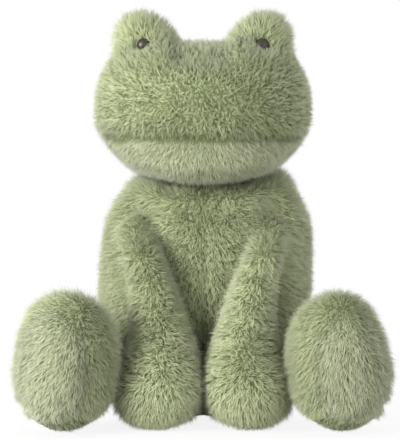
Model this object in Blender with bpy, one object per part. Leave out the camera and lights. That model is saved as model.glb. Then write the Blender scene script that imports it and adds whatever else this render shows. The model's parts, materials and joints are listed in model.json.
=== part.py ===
"""A sitting plush frog: sewn fur panels over stuffing, with a nodding head and swinging limbs.

Units are metres, +Z is up and the frog faces -Y, so its own left side is at +X. The origin is the
middle of the flat seat, on the surface that the toy sits on. Every fur panel is a closed solid: its
outside is the top of the dense pile, and its thickness is the pile and the backing together.
"""

import math

import bmesh
import bpy
import numpy as np
from mathutils import Matrix, Vector

# Cloth and sewing
FUR_THICKNESS = 0.006
SEAM_GAP = 0.0003
LINING_GAP = 0.0006
FLOOR_PRESS = 0.0005
OVERRUN = 0.004
JOIN_DISTANCE = 0.000001

# Torso, a pear that stands on its seat
TORSO_HEIGHT = 0.210
TORSO_HALF_WIDTH = 0.0865
TORSO_HALF_DEPTH = 0.067
TORSO_ROUNDNESS = 2.2

# Neck, where a plug of stuffing carries the head
NECK_DROP_HEIGHT = 0.010
NECK_HEIGHT = TORSO_HEIGHT - NECK_DROP_HEIGHT
NECK_PLUG_RADIUS = 0.038

# Head, a wide pillow with the mouth seam across its front
HEAD_HEIGHT = 0.113
HEAD_DROP_HEIGHT = 0.007
HEAD_BASE = TORSO_HEIGHT - HEAD_DROP_HEIGHT
HEAD_HALF_WIDTH = 0.0875
MUZZLE_DEPTH = 0.084
HEAD_BACK_DEPTH = 0.061
HEAD_ROUNDNESS = 2.3
CHIN_TILT = 0.18
MOUTH_CREASE = 0.0025

# Eye mounds and the eyes in them
MOUND_SPREAD = 0.048
MOUND_FORWARD = 0.009
MOUND_DROP_HEIGHT = 0.0115
MOUND_HEIGHT = HEAD_BASE + HEAD_HEIGHT - MOUND_DROP_HEIGHT
MOUND_HALF_WIDTH = 0.0265
MOUND_HALF_DEPTH = 0.022
MOUND_RISE = 0.027
EYE_RADIUS = 0.0068
EYE_DOME = 0.0042
EYE_RIM = 0.0012
EYE_SINK = 0.0024
EYE_DIMPLE = 0.012
SHANK_RADIUS = 0.0021
SHANK_LENGTH = 0.0115
WASHER_RADIUS = 0.0065
WASHER_THICKNESS = 0.0016

# Arms, clubs that lie on the belly and end in the hands
SHOULDER_SPREAD = 0.056
SHOULDER_DROP_HEIGHT = 0.042
SHOULDER_HEIGHT = TORSO_HEIGHT - SHOULDER_DROP_HEIGHT
SHOULDER_STAND_OFF = 0.010
SHOULDER_RADIUS = 0.018
HAND_HALF_WIDTH = 0.031
HAND_HALF_DEPTH = 0.030
HAND_SPREAD = 0.032
HAND_HEIGHT = 0.033
ARM_REST_GAP = 0.0024

# Legs, short tapered tubes between the hips and the feet
HIP_SPREAD = 0.069
HIP_HEIGHT = 0.038
HIP_STAND_OFF = 0.001
HIP_RADIUS = 0.025
THIGH_RADIUS = 0.0205
SHIN_RADIUS = 0.0165
LEG_LENGTH = 0.056
LEG_SPLAY = math.radians(28)
ANKLE_RISE = 0.009
ANKLE_RADIUS = 0.0195

# Feet, big balls with a sewn-in sole
FOOT_DEPTH = 0.080
FOOT_HALF_WIDTH = 0.0385
FOOT_HALF_HEIGHT = 0.053
FOOT_SPLAY = math.radians(18)

# Pellet bag in the seat
BAG_HALF_WIDTH = 0.046
BAG_HALF_DEPTH = 0.038
BAG_HEIGHT = 0.026

# Facets and turns of each form
TORSO_SIDES = 24
HEAD_SIDES = 24
LIMB_SIDES = 14
BALL_SIDES = 16
NECK_SIDES = 20
SMALL_SIDES = 12
SEAT_RINGS = 2
WALL_RINGS = 10
JAW_RINGS = 4
FACE_RINGS = 8
UPPER_RINGS = 6
SOLE_RINGS = 4
ARM_RINGS = 8
MOUND_RINGS = 8
DOME_RINGS = 6
BALL_RINGS = 5
CAP_RINGS = 4
SHOULDER_CAP = math.radians(95)
MOUND_SKIN_CAP = math.radians(150)
SHARP_EDGE = math.radians(50)

# Colours, from the photograph, as linear red, green and blue
SAGE_FUR = (0.30, 0.38, 0.19)
PALE_FUR = (0.38, 0.46, 0.25)
STUFFING = (0.85, 0.85, 0.82)
POUCH_CLOTH = (0.62, 0.60, 0.55)
EYE_BROWN = (0.055, 0.022, 0.012)
WASHER_WHITE = (0.80, 0.80, 0.78)

# Rings of the torso from its underside up: place along the profile, height, half width, front and back
TORSO_SHARES = (
    (0.00, -0.040, 0.00, 0.00, 0.00),
    (0.08, -0.020, 0.50, 0.52, 0.52),
    (0.17, 0.030, 0.76, 0.84, 0.84),
    (0.30, 0.150, 0.90, 0.97, 1.02),
    (0.45, 0.330, 0.97, 1.00, 1.05),
    (0.62, 0.560, 1.00, 0.97, 1.00),
    (0.75, 0.750, 0.97, 0.86, 0.89),
    (0.86, 0.874, 0.83, 0.67, 0.69),
    (0.94, 0.914, 0.61, 0.44, 0.47),
    (1.00, 1.000, 0.00, 0.00, 0.00),
)
SEAT_SEAM_SHARE = 0.17

# Rings of the head from the neck up: place along the profile, height, half width, front and back
HEAD_SHARES = (
    (0.00, 0.000, 0.000, 0.00, 0.00),
    (0.12, 0.010, 0.50, 0.52, 0.62),
    (0.22, 0.055, 0.70, 0.75, 0.80),
    (0.32, 0.150, 0.84, 0.88, 0.90),
    (0.41, 0.270, 0.93, 0.94, 0.96),
    (0.52, 0.410, 0.985, 1.00, 1.00),
    (0.63, 0.550, 1.000, 1.00, 1.00),
    (0.74, 0.680, 0.97, 0.92, 0.95),
    (0.83, 0.800, 0.88, 0.77, 0.83),
    (0.91, 0.910, 0.70, 0.55, 0.62),
    (0.96, 0.970, 0.47, 0.32, 0.40),
    (1.00, 1.000, 0.00, 0.00, 0.00),
)
MOUTH_SHARE = 0.41

# Rings of an arm: place along it, spread and height from the shoulder's to the hand's,
# then its half width, front and back as shares of the hand's
ARM_SHARES = (
    (0.00, 0.00, 0.00, 0.50, 0.50, 0.38),
    (0.22, 0.22, 0.17, 0.49, 0.53, 0.37),
    (0.46, 0.68, 0.42, 0.54, 0.58, 0.46),
    (0.68, 0.93, 0.66, 0.71, 0.73, 0.60),
    (0.87, 1.00, 0.87, 0.94, 0.94, 0.87),
    (1.00, 1.00, 1.00, 1.00, 1.00, 0.95),
)

# Rings of a foot from the ankle forward: place along the profile, reach, half width, half height
FOOT_SHARES = (
    (0.00, -0.060, 0.00, 0.00),
    (0.10, -0.050, 0.62, 0.46),
    (0.20, 0.030, 0.80, 0.66),
    (0.35, 0.200, 0.95, 0.88),
    (0.50, 0.400, 1.00, 0.99),
    (0.64, 0.570, 0.99, 1.00),
    (0.77, 0.745, 0.87, 0.89),
    (0.88, 0.885, 0.66, 0.68),
    (0.95, 0.965, 0.38, 0.39),
    (1.00, 1.000, 0.00, 0.00),
)
SOLE_SEAM_SHARE = 0.77

# Outline of the pellet bag from its flat underside up: height and width
BAG_SHARES = ((0, 0.0), (0, 0.86), (0.28, 1.0), (0.66, 0.90), (0.93, 0.50), (1, 0.0))


def clear_scene():
    """Remove what the file held before."""
    for old in list(bpy.data.objects):
        bpy.data.objects.remove(old, do_unlink=True)


def material(name, colour, roughness):
    """Return the named surface, made on its first use."""
    found = bpy.data.materials.get(name)
    if found:
        return found
    made = bpy.data.materials.new(name)
    made.use_nodes = True
    shader = made.node_tree.nodes["Principled BSDF"]
    shader.inputs["Base Color"].default_value = (*colour, 1)
    shader.inputs["Roughness"].default_value = roughness
    shader.inputs["Metallic"].default_value = 0
    made.diffuse_color = (*colour, 1)
    return made


def sage_fur():
    """Return the long-pile fabric of the whole toy."""
    return material("sage_fur", SAGE_FUR, 0.95)


def pale_fur():
    """Return the same fabric where its nap lies down and looks paler."""
    return material("pale_fur", PALE_FUR, 0.95)


def stuffing():
    """Return the white polyester fibre filling."""
    return material("stuffing", STUFFING, 1.0)


def unit(ways):
    """Return the ways, each brought to a length of one, and a way of no length as it is."""
    lengths = np.linalg.norm(ways, axis=-1, keepdims=True)
    return ways / np.where(lengths > 0, lengths, 1)


def smooth(rows, places):
    """Read each column of rows at the places, on a smooth curve through the rows."""
    rows = np.array(rows, float)
    places = np.asarray(places, float)
    knots = rows[:, 0]
    slopes = np.gradient(rows, knots, axis=0)
    low = np.clip(np.searchsorted(knots, places, side="right") - 1, 0, len(knots) - 2)
    span = (knots[low + 1] - knots[low])[:, None]
    t = (places[:, None] - knots[low][:, None]) / span
    start = rows[low] * (2 * t**3 - 3 * t**2 + 1) + slopes[low] * span * (t**3 - 2 * t**2 + t)
    end = rows[low + 1] * (3 * t**2 - 2 * t**3) + slopes[low + 1] * span * (t**3 - t**2)
    return (start + end)[:, 1:]


def split_places(seam, below, above):
    """Return places from 0 to 1 that meet the seam exactly, with so many steps on each side."""
    return np.concatenate([np.linspace(0, seam, below + 1), np.linspace(seam, 1, above + 1)[1:]])


def round_share(angle, roundness):
    """Return the across and along shares of a superellipse at an angle."""
    power = 2 / roundness
    across = np.sign(np.cos(angle)) * np.abs(np.cos(angle)) ** power
    along = np.sign(np.sin(angle)) * np.abs(np.sin(angle)) ** power
    return across, along


def ring_angles(sides):
    """Return the angles of one ring, from +X round through +Y."""
    return np.linspace(0, 2 * math.pi, sides, endpoint=False)


def torso_rings():
    """Return the points of the torso's form, ring by ring, as it is before the seat is cut flat."""
    across, along = round_share(ring_angles(TORSO_SIDES), TORSO_ROUNDNESS)
    rings = []
    for height, wide, front, back in smooth(TORSO_SHARES, split_places(SEAT_SEAM_SHARE, SEAT_RINGS, WALL_RINGS)):
        depth = np.where(along > 0, back, front) * TORSO_HALF_DEPTH
        level = np.full(TORSO_SIDES, height * TORSO_HEIGHT)
        rings.append(np.stack([across * wide * TORSO_HALF_WIDTH, along * depth, level], axis=1))
    return np.array(rings)


def torso_front(spread, height):
    """Return the point on the torso's front at this spread and height, and its level outward way."""
    table = smooth(TORSO_SHARES, np.linspace(0, 1, 200))
    share = height / TORSO_HEIGHT
    half = np.interp(share, table[:, 0], table[:, 1]) * TORSO_HALF_WIDTH
    reach = np.interp(share, table[:, 0], table[:, 2]) * TORSO_HALF_DEPTH
    left = max(1 - (spread / half) ** TORSO_ROUNDNESS, 0)
    forward = -reach * left ** (1 / TORSO_ROUNDNESS)
    power = TORSO_ROUNDNESS - 1
    outward = Vector(((spread / half) ** power / half, -((-forward / reach) ** power) / reach, 0))
    return Vector((spread, forward, height)), outward.normalized()


def beside_torso(spread, height, stand_off):
    """Return the point at this spread and height that stands off the torso's front, and its outward way."""
    touch = spread
    for _ in range(6):
        skin_point, outward = torso_front(touch, height)
        centre = skin_point + outward * stand_off
        touch += spread - centre.x
    return centre, outward


def head_rings():
    """Return the points of the head's form, ring by ring from the neck, with the mouth drawn in."""
    across, along = round_share(ring_angles(HEAD_SIDES), HEAD_ROUNDNESS)
    places = split_places(MOUTH_SHARE, JAW_RINGS, FACE_RINGS)
    rings = []
    for place, (height, wide, front, back) in zip(places, smooth(HEAD_SHARES, places)):
        crease = MOUTH_CREASE if place == MOUTH_SHARE else 0
        reach = np.where(along > 0, back * HEAD_BACK_DEPTH, front * MUZZLE_DEPTH - crease)
        forward = along * reach
        level = HEAD_BASE + height * HEAD_HEIGHT + CHIN_TILT * forward * (1 - height) ** 2
        rings.append(np.stack([across * wide * HEAD_HALF_WIDTH, forward, level], axis=1))
    return np.array(rings)


def foot_rings(ankle, forward):
    """Return the points of one foot's form, ring by ring from the ankle to the sole's middle."""
    turn = ring_angles(LIMB_SIDES)
    beside = Vector((-forward.y, forward.x, 0))
    places = split_places(SOLE_SEAM_SHARE, UPPER_RINGS, SOLE_RINGS)
    rings = []
    for reach, wide, tall in smooth(FOOT_SHARES, places):
        middle = ankle + forward * reach * FOOT_DEPTH
        rise = FOOT_HALF_HEIGHT - FLOOR_PRESS - ankle.z
        middle.z += rise * min(max(tall, 0), 1)
        across = np.outer(np.cos(turn) * wide * FOOT_HALF_WIDTH, beside)
        up = np.outer(np.sin(turn) * tall * FOOT_HALF_HEIGHT, (0, 0, 1))
        rings.append(np.array(middle) + across + up)
    return np.array(rings)


def outward_ways(rings):
    """Return the unit outward way at each point of a closed stack of rings."""
    along = np.gradient(rings, axis=0)
    around = np.roll(rings, -1, axis=1) - np.roll(rings, 1, axis=1)
    ways = unit(np.cross(around, along))
    from_middle = rings - rings.mean(axis=1)[:, None]
    if (ways[1:-1] * from_middle[1:-1]).sum() < 0:
        ways *= -1
    for end, beside in ((0, 1), (-1, -2)):
        ways[end] = unit(ways[beside].mean(axis=0))
    return ways


def keep_in_plane(ways, columns, axis):
    """Keep the ways of a seam's columns in the seam's plane, so that the panels meet flat."""
    ways[:, columns, axis] = 0
    return unit(ways)


def keep_on_side_seams(rings, ways):
    """Keep the ways at a limb's two side seams in the sheet that the seams lie in."""
    half = rings.shape[1] // 2
    beside = rings[:, 0] - rings[:, half]
    along = np.gradient(rings.mean(axis=1), axis=0)
    out = unit(np.cross(beside, along))
    for column in (0, half):
        leaning = (ways[:, column] * out).sum(axis=1, keepdims=True)
        ways[:, column] -= out * leaning
    return unit(ways)


def moved_in(rings, ways, depth, floor):
    """Return the rings moved in by a depth, and no lower than that depth above the floor."""
    inner = rings - ways * depth
    if floor:
        inner[:, :, 2] = np.maximum(inner[:, :, 2], depth)
    return inner


def add_object(name, mesh, surface):
    """Put a finished mesh in the scene under its name."""
    mesh.materials.append(surface)
    made = bpy.data.objects.new(name, mesh)
    bpy.context.scene.collection.objects.link(made)
    return made


def solid_from(name, points, faces, surface):
    """Make a closed solid from points and faces, with coinciding points joined."""
    mesh = bpy.data.meshes.new(name)
    mesh.from_pydata([tuple(p) for p in points], [], faces)
    shape = bmesh.new()
    shape.from_mesh(mesh)
    bmesh.ops.remove_doubles(shape, verts=shape.verts, dist=JOIN_DISTANCE)
    bmesh.ops.dissolve_degenerate(shape, edges=shape.edges, dist=JOIN_DISTANCE)
    bmesh.ops.recalc_face_normals(shape, faces=shape.faces)
    shape.to_mesh(mesh)
    shape.free()
    mesh.shade_smooth()
    mesh.set_sharp_from_angle(angle=SHARP_EDGE)
    return add_object(name, mesh, surface)


def grid_faces(first, second, count, closed):
    """Return the quads between two rows of point numbers."""
    steps = count if closed else count - 1
    return [
        (first[i], first[(i + 1) % count], second[(i + 1) % count], second[i])
        for i in range(steps)
    ]


def panel(name, outer, inner, surface, part_way, columns=None):
    """Make one sewn panel: a patch of the outside, the same patch of the inside and its rim.

    part_way moves the whole panel off its neighbours, and columns are those it covers, or None for
    a panel that goes all the way round.
    """
    closed = columns is None
    if not closed:
        outer = outer[:, columns]
        inner = inner[:, columns]
    rows, count = outer.shape[:2]
    numbers = np.arange(rows * count).reshape(rows, count)
    under = numbers + rows * count
    faces = []
    for k in range(rows - 1):
        faces += grid_faces(numbers[k].tolist(), numbers[k + 1].tolist(), count, closed)
        faces += grid_faces(under[k + 1].tolist(), under[k].tolist(), count, closed)
    for k in (0, rows - 1):
        if np.ptp(outer[k], axis=0).max() > SEAM_GAP:
            faces += grid_faces(numbers[k].tolist(), under[k].tolist(), count, closed)
    if not closed:
        for j in (0, count - 1):
            faces += grid_faces(numbers[:, j].tolist(), under[:, j].tolist(), rows, False)
    points = np.concatenate([outer.reshape(-1, 3), inner.reshape(-1, 3)]) + np.array(part_way)
    return solid_from(name, points, faces, surface)


def core(name, rings, surface):
    """Make one closed solid from a stack of rings whose ends are single points."""
    rows, count = rings.shape[:2]
    numbers = np.arange(rows * count).reshape(rows, count)
    faces = []
    for k in range(rows - 1):
        faces += grid_faces(numbers[k].tolist(), numbers[k + 1].tolist(), count, True)
    return solid_from(name, rings.reshape(-1, 3), faces, surface)


def spokes_round(axis, turn):
    """Return the unit spokes at some angles round an axis."""
    across = axis.orthogonal().normalized()
    upright = axis.cross(across)
    return np.outer(np.cos(turn), across) + np.outer(np.sin(turn), upright)


def turned(name, profile, sides, place, axis, surface, part_turn=0):
    """Turn a profile of (distance along, radius) points round an axis through a place."""
    axis = Vector(axis).normalized()
    spokes = spokes_round(axis, ring_angles(sides) + part_turn)
    rings = [np.array(place) + np.array(axis) * along + spokes * radius for along, radius in profile]
    return core(name, np.array(rings), surface)


def arc(centre, radius, start, end, steps):
    """Return (distance along, radius) points on a circle's arc, with angles from the axis."""
    return [
        (centre - radius * math.cos(angle), abs(radius * math.sin(angle)))
        for angle in np.linspace(start, end, steps)
    ]


def mark_cutter(cutter):
    """Show a cutting form as a wire and keep it out of the model."""
    cutter.hide_render = True
    cutter.display_type = "WIRE"
    return cutter


def ball_cutter(name, place, radius, sides=BALL_SIDES):
    """Make a ball-shaped cutter whose flat facets still clear a ball of this radius by the gap."""
    clear = (radius + SEAM_GAP) / math.cos(math.pi / sides) ** 2
    profile = arc(0, clear, 0, math.pi, sides // 2 + 1)
    half_facet = math.pi / sides
    return mark_cutter(turned(name, profile, sides, place, (0, 0, 1), stuffing(), half_facet))


def cut(pieces, *cutters):
    """Cut each piece by the cutters."""
    for piece in pieces:
        for cutter in cutters:
            change = piece.modifiers.new("cut_by_" + cutter.name, "BOOLEAN")
            change.operation = "DIFFERENCE"
            change.solver = "EXACT"
            change.object = cutter


def pivot(name, place, parent=None):
    """Make the empty that marks a joint, with its place given in the world."""
    made = bpy.data.objects.new(name, None)
    made.empty_display_size = FUR_THICKNESS
    bpy.context.scene.collection.objects.link(made)
    made.location = Vector(place) - (parent["at"] if parent else Vector())
    if parent:
        made.parent = parent["empty"]
    return {"empty": made, "at": Vector(place)}


def carry(pieces, joint):
    """Hang pieces on a joint's empty, with their origins on its axis."""
    for piece in pieces:
        piece.data.transform(Matrix.Translation(-joint["at"]))
        piece.parent = joint["empty"]


def seat_bag():
    """Make the pellet bag on the seat and the cutter for its hollow in the stuffing."""
    bottom = FUR_THICKNESS + LINING_GAP
    turn = ring_angles(SMALL_SIDES)
    made = []
    for name, grow in (("seat_bean_bag", 0), ("bean_bag_hollow", LINING_GAP)):
        rings = []
        for height, wide in BAG_SHARES:
            across = np.cos(turn) * (wide * BAG_HALF_WIDTH + grow * (wide > 0))
            along = np.sin(turn) * (wide * BAG_HALF_DEPTH + grow * (wide > 0))
            low = bottom - (OVERRUN if grow and height == 0 else 0)
            level = low if height == 0 else bottom + height * BAG_HEIGHT + grow
            rings.append(np.stack([across, along, np.full(SMALL_SIDES, level)], axis=1))
        made.append(core(name, np.array(rings), material("pouch_cloth", POUCH_CLOTH, 0.9)))
    return made[0], mark_cutter(made[1])


def build_torso():
    """Make the torso's five panels, its stuffing and its bag of pellets."""
    rings = torso_rings()
    ways = outward_ways(rings)
    quarter = TORSO_SIDES // 4
    ways = keep_in_plane(ways, [0, 2 * quarter], 1)
    ways = keep_in_plane(ways, [quarter, 3 * quarter], 0)
    outer = rings.copy()
    outer[:, :, 2] = np.maximum(outer[:, :, 2], 0)
    inner = moved_in(rings, ways, FUR_THICKNESS, True)
    filling = moved_in(rings, ways, FUR_THICKNESS + LINING_GAP, True)
    half_gap = SEAM_GAP / 2
    quarters = {
        "torso_back_left": (0, half_gap, half_gap),
        "torso_back_right": (quarter, -half_gap, half_gap),
        "torso_front_right": (2 * quarter, -half_gap, -half_gap),
        "torso_front_left": (3 * quarter, half_gap, -half_gap),
    }
    walls = []
    for name, (first, sideways, forward) in quarters.items():
        columns = [(first + i) % TORSO_SIDES for i in range(quarter + 1)]
        part_way = (sideways, forward, SEAM_GAP)
        upper = slice(SEAT_RINGS, None)
        walls.append(panel(name, outer[upper], inner[upper], sage_fur(), part_way, columns))
    lower = slice(0, SEAT_RINGS + 1)
    seat = panel("torso_seat", outer[lower], inner[lower], sage_fur(), (0, 0, 0))
    filled = core("torso_stuffing", filling[:, ::2], stuffing())
    bag, hollow = seat_bag()
    cut([filled], hollow)
    return walls, seat, filled, bag


def build_head():
    """Make the head's three panels and its stuffing."""
    rings = head_rings()
    ways = outward_ways(rings)
    half = HEAD_SIDES // 2
    ways = keep_in_plane(ways, [0, half], 1)
    inner = moved_in(rings, ways, FUR_THICKNESS, False)
    filling = moved_in(rings, ways, FUR_THICKNESS + LINING_GAP, False)
    half_gap = SEAM_GAP / 2
    front = [(half + i) % HEAD_SIDES for i in range(half + 1)]
    back = list(range(half + 1))
    face = slice(JAW_RINGS, None)
    chin = slice(0, JAW_RINGS + 1)
    upward = (0, -half_gap, half_gap)
    downward = (0, -half_gap, -half_gap)
    pieces = [
        panel("head_face_panel", rings[face], inner[face], sage_fur(), upward, front),
        panel("jaw_panel", rings[chin], inner[chin], pale_fur(), downward, front),
        panel("head_back_panel", rings, inner, sage_fur(), (0, half_gap, 0), back),
        core("head_stuffing", filling[:, ::2], stuffing()),
    ]
    return pieces


def eye_profile(grow):
    """Return the eye's turned profile from its apex inward, grown by a gap for its hole."""
    dome = arc(0, EYE_RADIUS, 0, math.pi / 2, DOME_RINGS)
    squash = EYE_DOME / EYE_RADIUS
    flange = EYE_DOME + EYE_RIM
    points = [((along + EYE_RADIUS) * squash, radius) for along, radius in dome]
    points += [(flange, EYE_RADIUS), (flange, SHANK_RADIUS), (flange + SHANK_LENGTH, SHANK_RADIUS)]
    points.append((flange + SHANK_LENGTH, 0))
    if not grow:
        return points
    washer = flange + FUR_THICKNESS - EYE_SINK
    wide = WASHER_RADIUS + grow
    thin = SHANK_RADIUS + grow
    hole = [(-EYE_DIMPLE, 0), (-EYE_DIMPLE, EYE_RADIUS + grow), (flange + grow, EYE_RADIUS + grow)]
    hole += [(flange + grow, thin), (washer - grow, thin), (washer - grow, wide)]
    hole += [(washer + WASHER_THICKNESS + grow, wide), (washer + WASHER_THICKNESS + grow, thin)]
    end = flange + SHANK_LENGTH + grow
    return hole + [(end, thin), (end, 0)]


def build_eye(label, front):
    """Make one eye with its washer, and the cutter for their hole. front is the eye's apex."""
    inward = (0, 1, 0)
    brown = material("eye_brown", EYE_BROWN, 0.08)
    eye = turned(label + "_safety_eye", eye_profile(0), SMALL_SIDES, front, inward, brown)
    start = EYE_DOME + EYE_RIM + FUR_THICKNESS - EYE_SINK
    bore = SHANK_RADIUS + SEAM_GAP
    ring = ((start, bore), (start, WASHER_RADIUS))
    ring += ((start + WASHER_THICKNESS, WASHER_RADIUS), (start + WASHER_THICKNESS, bore))
    white = material("washer_white", WASHER_WHITE, 0.45)
    washer = turned_ring(label + "_eye_washer", ring, front, inward, white)
    hole = turned(label + "_eye_hole", eye_profile(SEAM_GAP), SMALL_SIDES, front, inward, brown)
    return eye, washer, mark_cutter(hole)


def turned_ring(name, profile, place, axis, surface):
    """Turn a closed profile that doesn't meet the axis, as for a washer."""
    axis = Vector(axis).normalized()
    spokes = spokes_round(axis, ring_angles(SMALL_SIDES))
    loops = [np.array(place) + np.array(axis) * along + spokes * radius for along, radius in profile]
    numbers = np.arange(len(loops) * SMALL_SIDES).reshape(len(loops), SMALL_SIDES)
    faces = []
    for k in range(len(loops)):
        below, above = numbers[k].tolist(), numbers[(k + 1) % len(loops)].tolist()
        faces += grid_faces(below, above, SMALL_SIDES, True)
    return solid_from(name, np.concatenate(loops), faces, surface)


def mound_rings(side, depth, lowest):
    """Return the rings of one egg-shaped eye mound from its top to a lowest angle, moved in by a depth."""
    middle = np.array((side * MOUND_SPREAD, -MOUND_FORWARD, MOUND_HEIGHT))
    size = np.array((MOUND_HALF_WIDTH, MOUND_HALF_DEPTH, MOUND_RISE)) - depth
    turn = ring_angles(SMALL_SIDES)
    level = np.ones(SMALL_SIDES)
    rings = []
    for tip in np.linspace(0, lowest, MOUND_RINGS):
        ball = np.stack([np.cos(turn) * np.sin(tip), np.sin(turn) * np.sin(tip), level * np.cos(tip)], axis=1)
        rings.append(middle + ball * size)
    return np.array(rings)


def build_mound(side, label):
    """Make one eye mound with its stuffing, eye and washer, and the forms that cut the head for it."""
    outer = mound_rings(side, 0, MOUND_SKIN_CAP)
    inner = mound_rings(side, FUR_THICKNESS, MOUND_SKIN_CAP)
    skin = panel(label + "_eye_mound", outer, inner, sage_fur(), (0, 0, 0))
    filling = mound_rings(side, FUR_THICKNESS + LINING_GAP, math.pi)
    filled = core(label + "_mound_stuffing", filling, stuffing())
    form = mark_cutter(core(label + "_mound_form", mound_rings(side, -2 * SEAM_GAP, math.pi), stuffing()))
    back = MOUND_HALF_DEPTH + EYE_DOME + EYE_RIM - EYE_SINK
    apex = Vector((side * MOUND_SPREAD, -MOUND_FORWARD - back, MOUND_HEIGHT))
    eye, washer, hole = build_eye(label, apex)
    cut([skin, filled], hole)
    return [skin, filled, eye, washer], [form, hole]


def arm_rings(side):
    """Return the rings of one arm from the shoulder ball to the palm, and the shoulder's middle."""
    rows = smooth(ARM_SHARES, np.linspace(0, 1, ARM_RINGS))
    centres, outs = [], []
    for spread_way, height_way, _, _, back in rows:
        spread = SHOULDER_SPREAD + (HAND_SPREAD - SHOULDER_SPREAD) * spread_way
        height = SHOULDER_HEIGHT + (HAND_HEIGHT - SHOULDER_HEIGHT) * height_way
        stand_off = ARM_REST_GAP + back * HAND_HALF_DEPTH if height_way else SHOULDER_STAND_OFF
        centre, outward = beside_torso(spread, height, stand_off)
        centres.append(centre)
        outs.append(outward)
    shoulder = centres[0]
    ways = unit(np.gradient(np.array(centres), axis=0))
    first = Vector(ways[0])
    rings = []
    for angle in np.linspace(0, SHOULDER_CAP, CAP_RINGS):
        middle = shoulder - first * SHOULDER_RADIUS * math.cos(angle)
        reach = SHOULDER_RADIUS * math.sin(angle)
        rings.append(limb_ring(middle, first, outs[0], (reach, reach, reach)))
    for centre, way, out, row in zip(centres[1:], ways[1:], outs[1:], rows[1:]):
        sizes = row[2:] * (HAND_HALF_WIDTH, HAND_HALF_DEPTH, HAND_HALF_DEPTH)
        rings.append(limb_ring(centre, Vector(way), out, sizes))
    down = Vector((0, 0, -1))
    palm = HAND_HEIGHT + FLOOR_PRESS
    for angle in np.linspace(0, math.pi / 2, CAP_RINGS)[1:]:
        middle = centres[-1] + down * palm * math.sin(angle)
        rings.append(limb_ring(middle, down, outs[-1], sizes * math.cos(angle)))
    rings = np.array(rings)
    rings[:, :, 0] *= side
    return rings, Vector((side * shoulder.x, shoulder.y, shoulder.z))


def limb_ring(middle, way, outward, sizes):
    """Return one ring round a limb, sized by its half width and its reach from and towards the body."""
    wide, front, back = sizes
    turn = ring_angles(LIMB_SIDES)
    out = (outward - way * outward.dot(way)).normalized()
    beside = way.cross(out)
    lift = np.where(np.sin(turn) > 0, front, back) * np.sin(turn)
    return np.array(middle) + np.outer(np.cos(turn) * wide, beside) + np.outer(lift, out)


def build_arm(side, label):
    """Make one arm's two panels and its stuffing. Returns them and the shoulder's middle."""
    rings, shoulder = arm_rings(side)
    ways = outward_ways(rings)
    ways = keep_on_side_seams(rings, ways)
    outer = rings.copy()
    outer[:, :, 2] = np.maximum(outer[:, :, 2], 0)
    inner = moved_in(rings, ways, FUR_THICKNESS, True)
    filling = moved_in(rings, ways, FUR_THICKNESS + LINING_GAP, True)
    half = LIMB_SIDES // 2
    front = list(range(half + 1))
    back = [(half + i) % LIMB_SIDES for i in range(half + 1)]
    half_gap = SEAM_GAP / 2
    pieces = [
        panel(label + "_arm_front_panel", outer, inner, sage_fur(), (0, -half_gap, 0), front),
        panel(label + "_arm_back_panel", outer, inner, sage_fur(), (0, half_gap, 0), back),
        core(label + "_arm_stuffing", filling, stuffing()),
    ]
    return pieces, shoulder


def leg_rings(hip, way, depth):
    """Return the rings of one leg, a turned form with a ball at each end, moved in by a depth."""
    hip_ball, ankle_ball = HIP_RADIUS - depth, ANKLE_RADIUS - depth
    thigh, shin = THIGH_RADIUS - depth, SHIN_RADIUS - depth
    straight = way * LEG_LENGTH + Vector((0, 0, ANKLE_RISE))
    length = straight.length
    straight.normalize()
    leave = math.pi - math.asin(thigh / hip_ball)
    meet = math.asin(shin / ankle_ball)
    profile = arc(0, hip_ball, 0, leave, BALL_RINGS)
    profile += arc(length, ankle_ball, meet, math.pi, BALL_RINGS)
    turn = ring_angles(LIMB_SIDES)
    across = straight.cross(Vector((0, 0, 1))).normalized()
    upright = across.cross(straight)
    spokes = np.outer(np.cos(turn), across) + np.outer(np.sin(turn), upright)
    return np.array([np.array(hip + straight * along) + spokes * radius for along, radius in profile])


def build_leg(side, label):
    """Make one leg's two panels and its stuffing. Returns them, the hip and the ankle."""
    hip, _ = beside_torso(HIP_SPREAD, HIP_HEIGHT, HIP_STAND_OFF)
    hip.x *= side
    way = Vector((side * math.sin(LEG_SPLAY), -math.cos(LEG_SPLAY), 0))
    ankle = hip + way * LEG_LENGTH + Vector((0, 0, ANKLE_RISE))
    outer, inner = leg_rings(hip, way, 0), leg_rings(hip, way, FUR_THICKNESS)
    filling = leg_rings(hip, way, FUR_THICKNESS + LINING_GAP)
    half = LIMB_SIDES // 2
    top = list(range(half + 1))
    bottom = [(half + i) % LIMB_SIDES for i in range(half + 1)]
    half_gap = SEAM_GAP / 2
    pieces = [
        panel(label + "_leg_top_panel", outer, inner, sage_fur(), (0, 0, half_gap), top),
        panel(label + "_leg_bottom_panel", outer, inner, sage_fur(), (0, 0, -half_gap), bottom),
        core(label + "_leg_stuffing", filling[:, ::2], stuffing()),
    ]
    return pieces, hip, ankle


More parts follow.
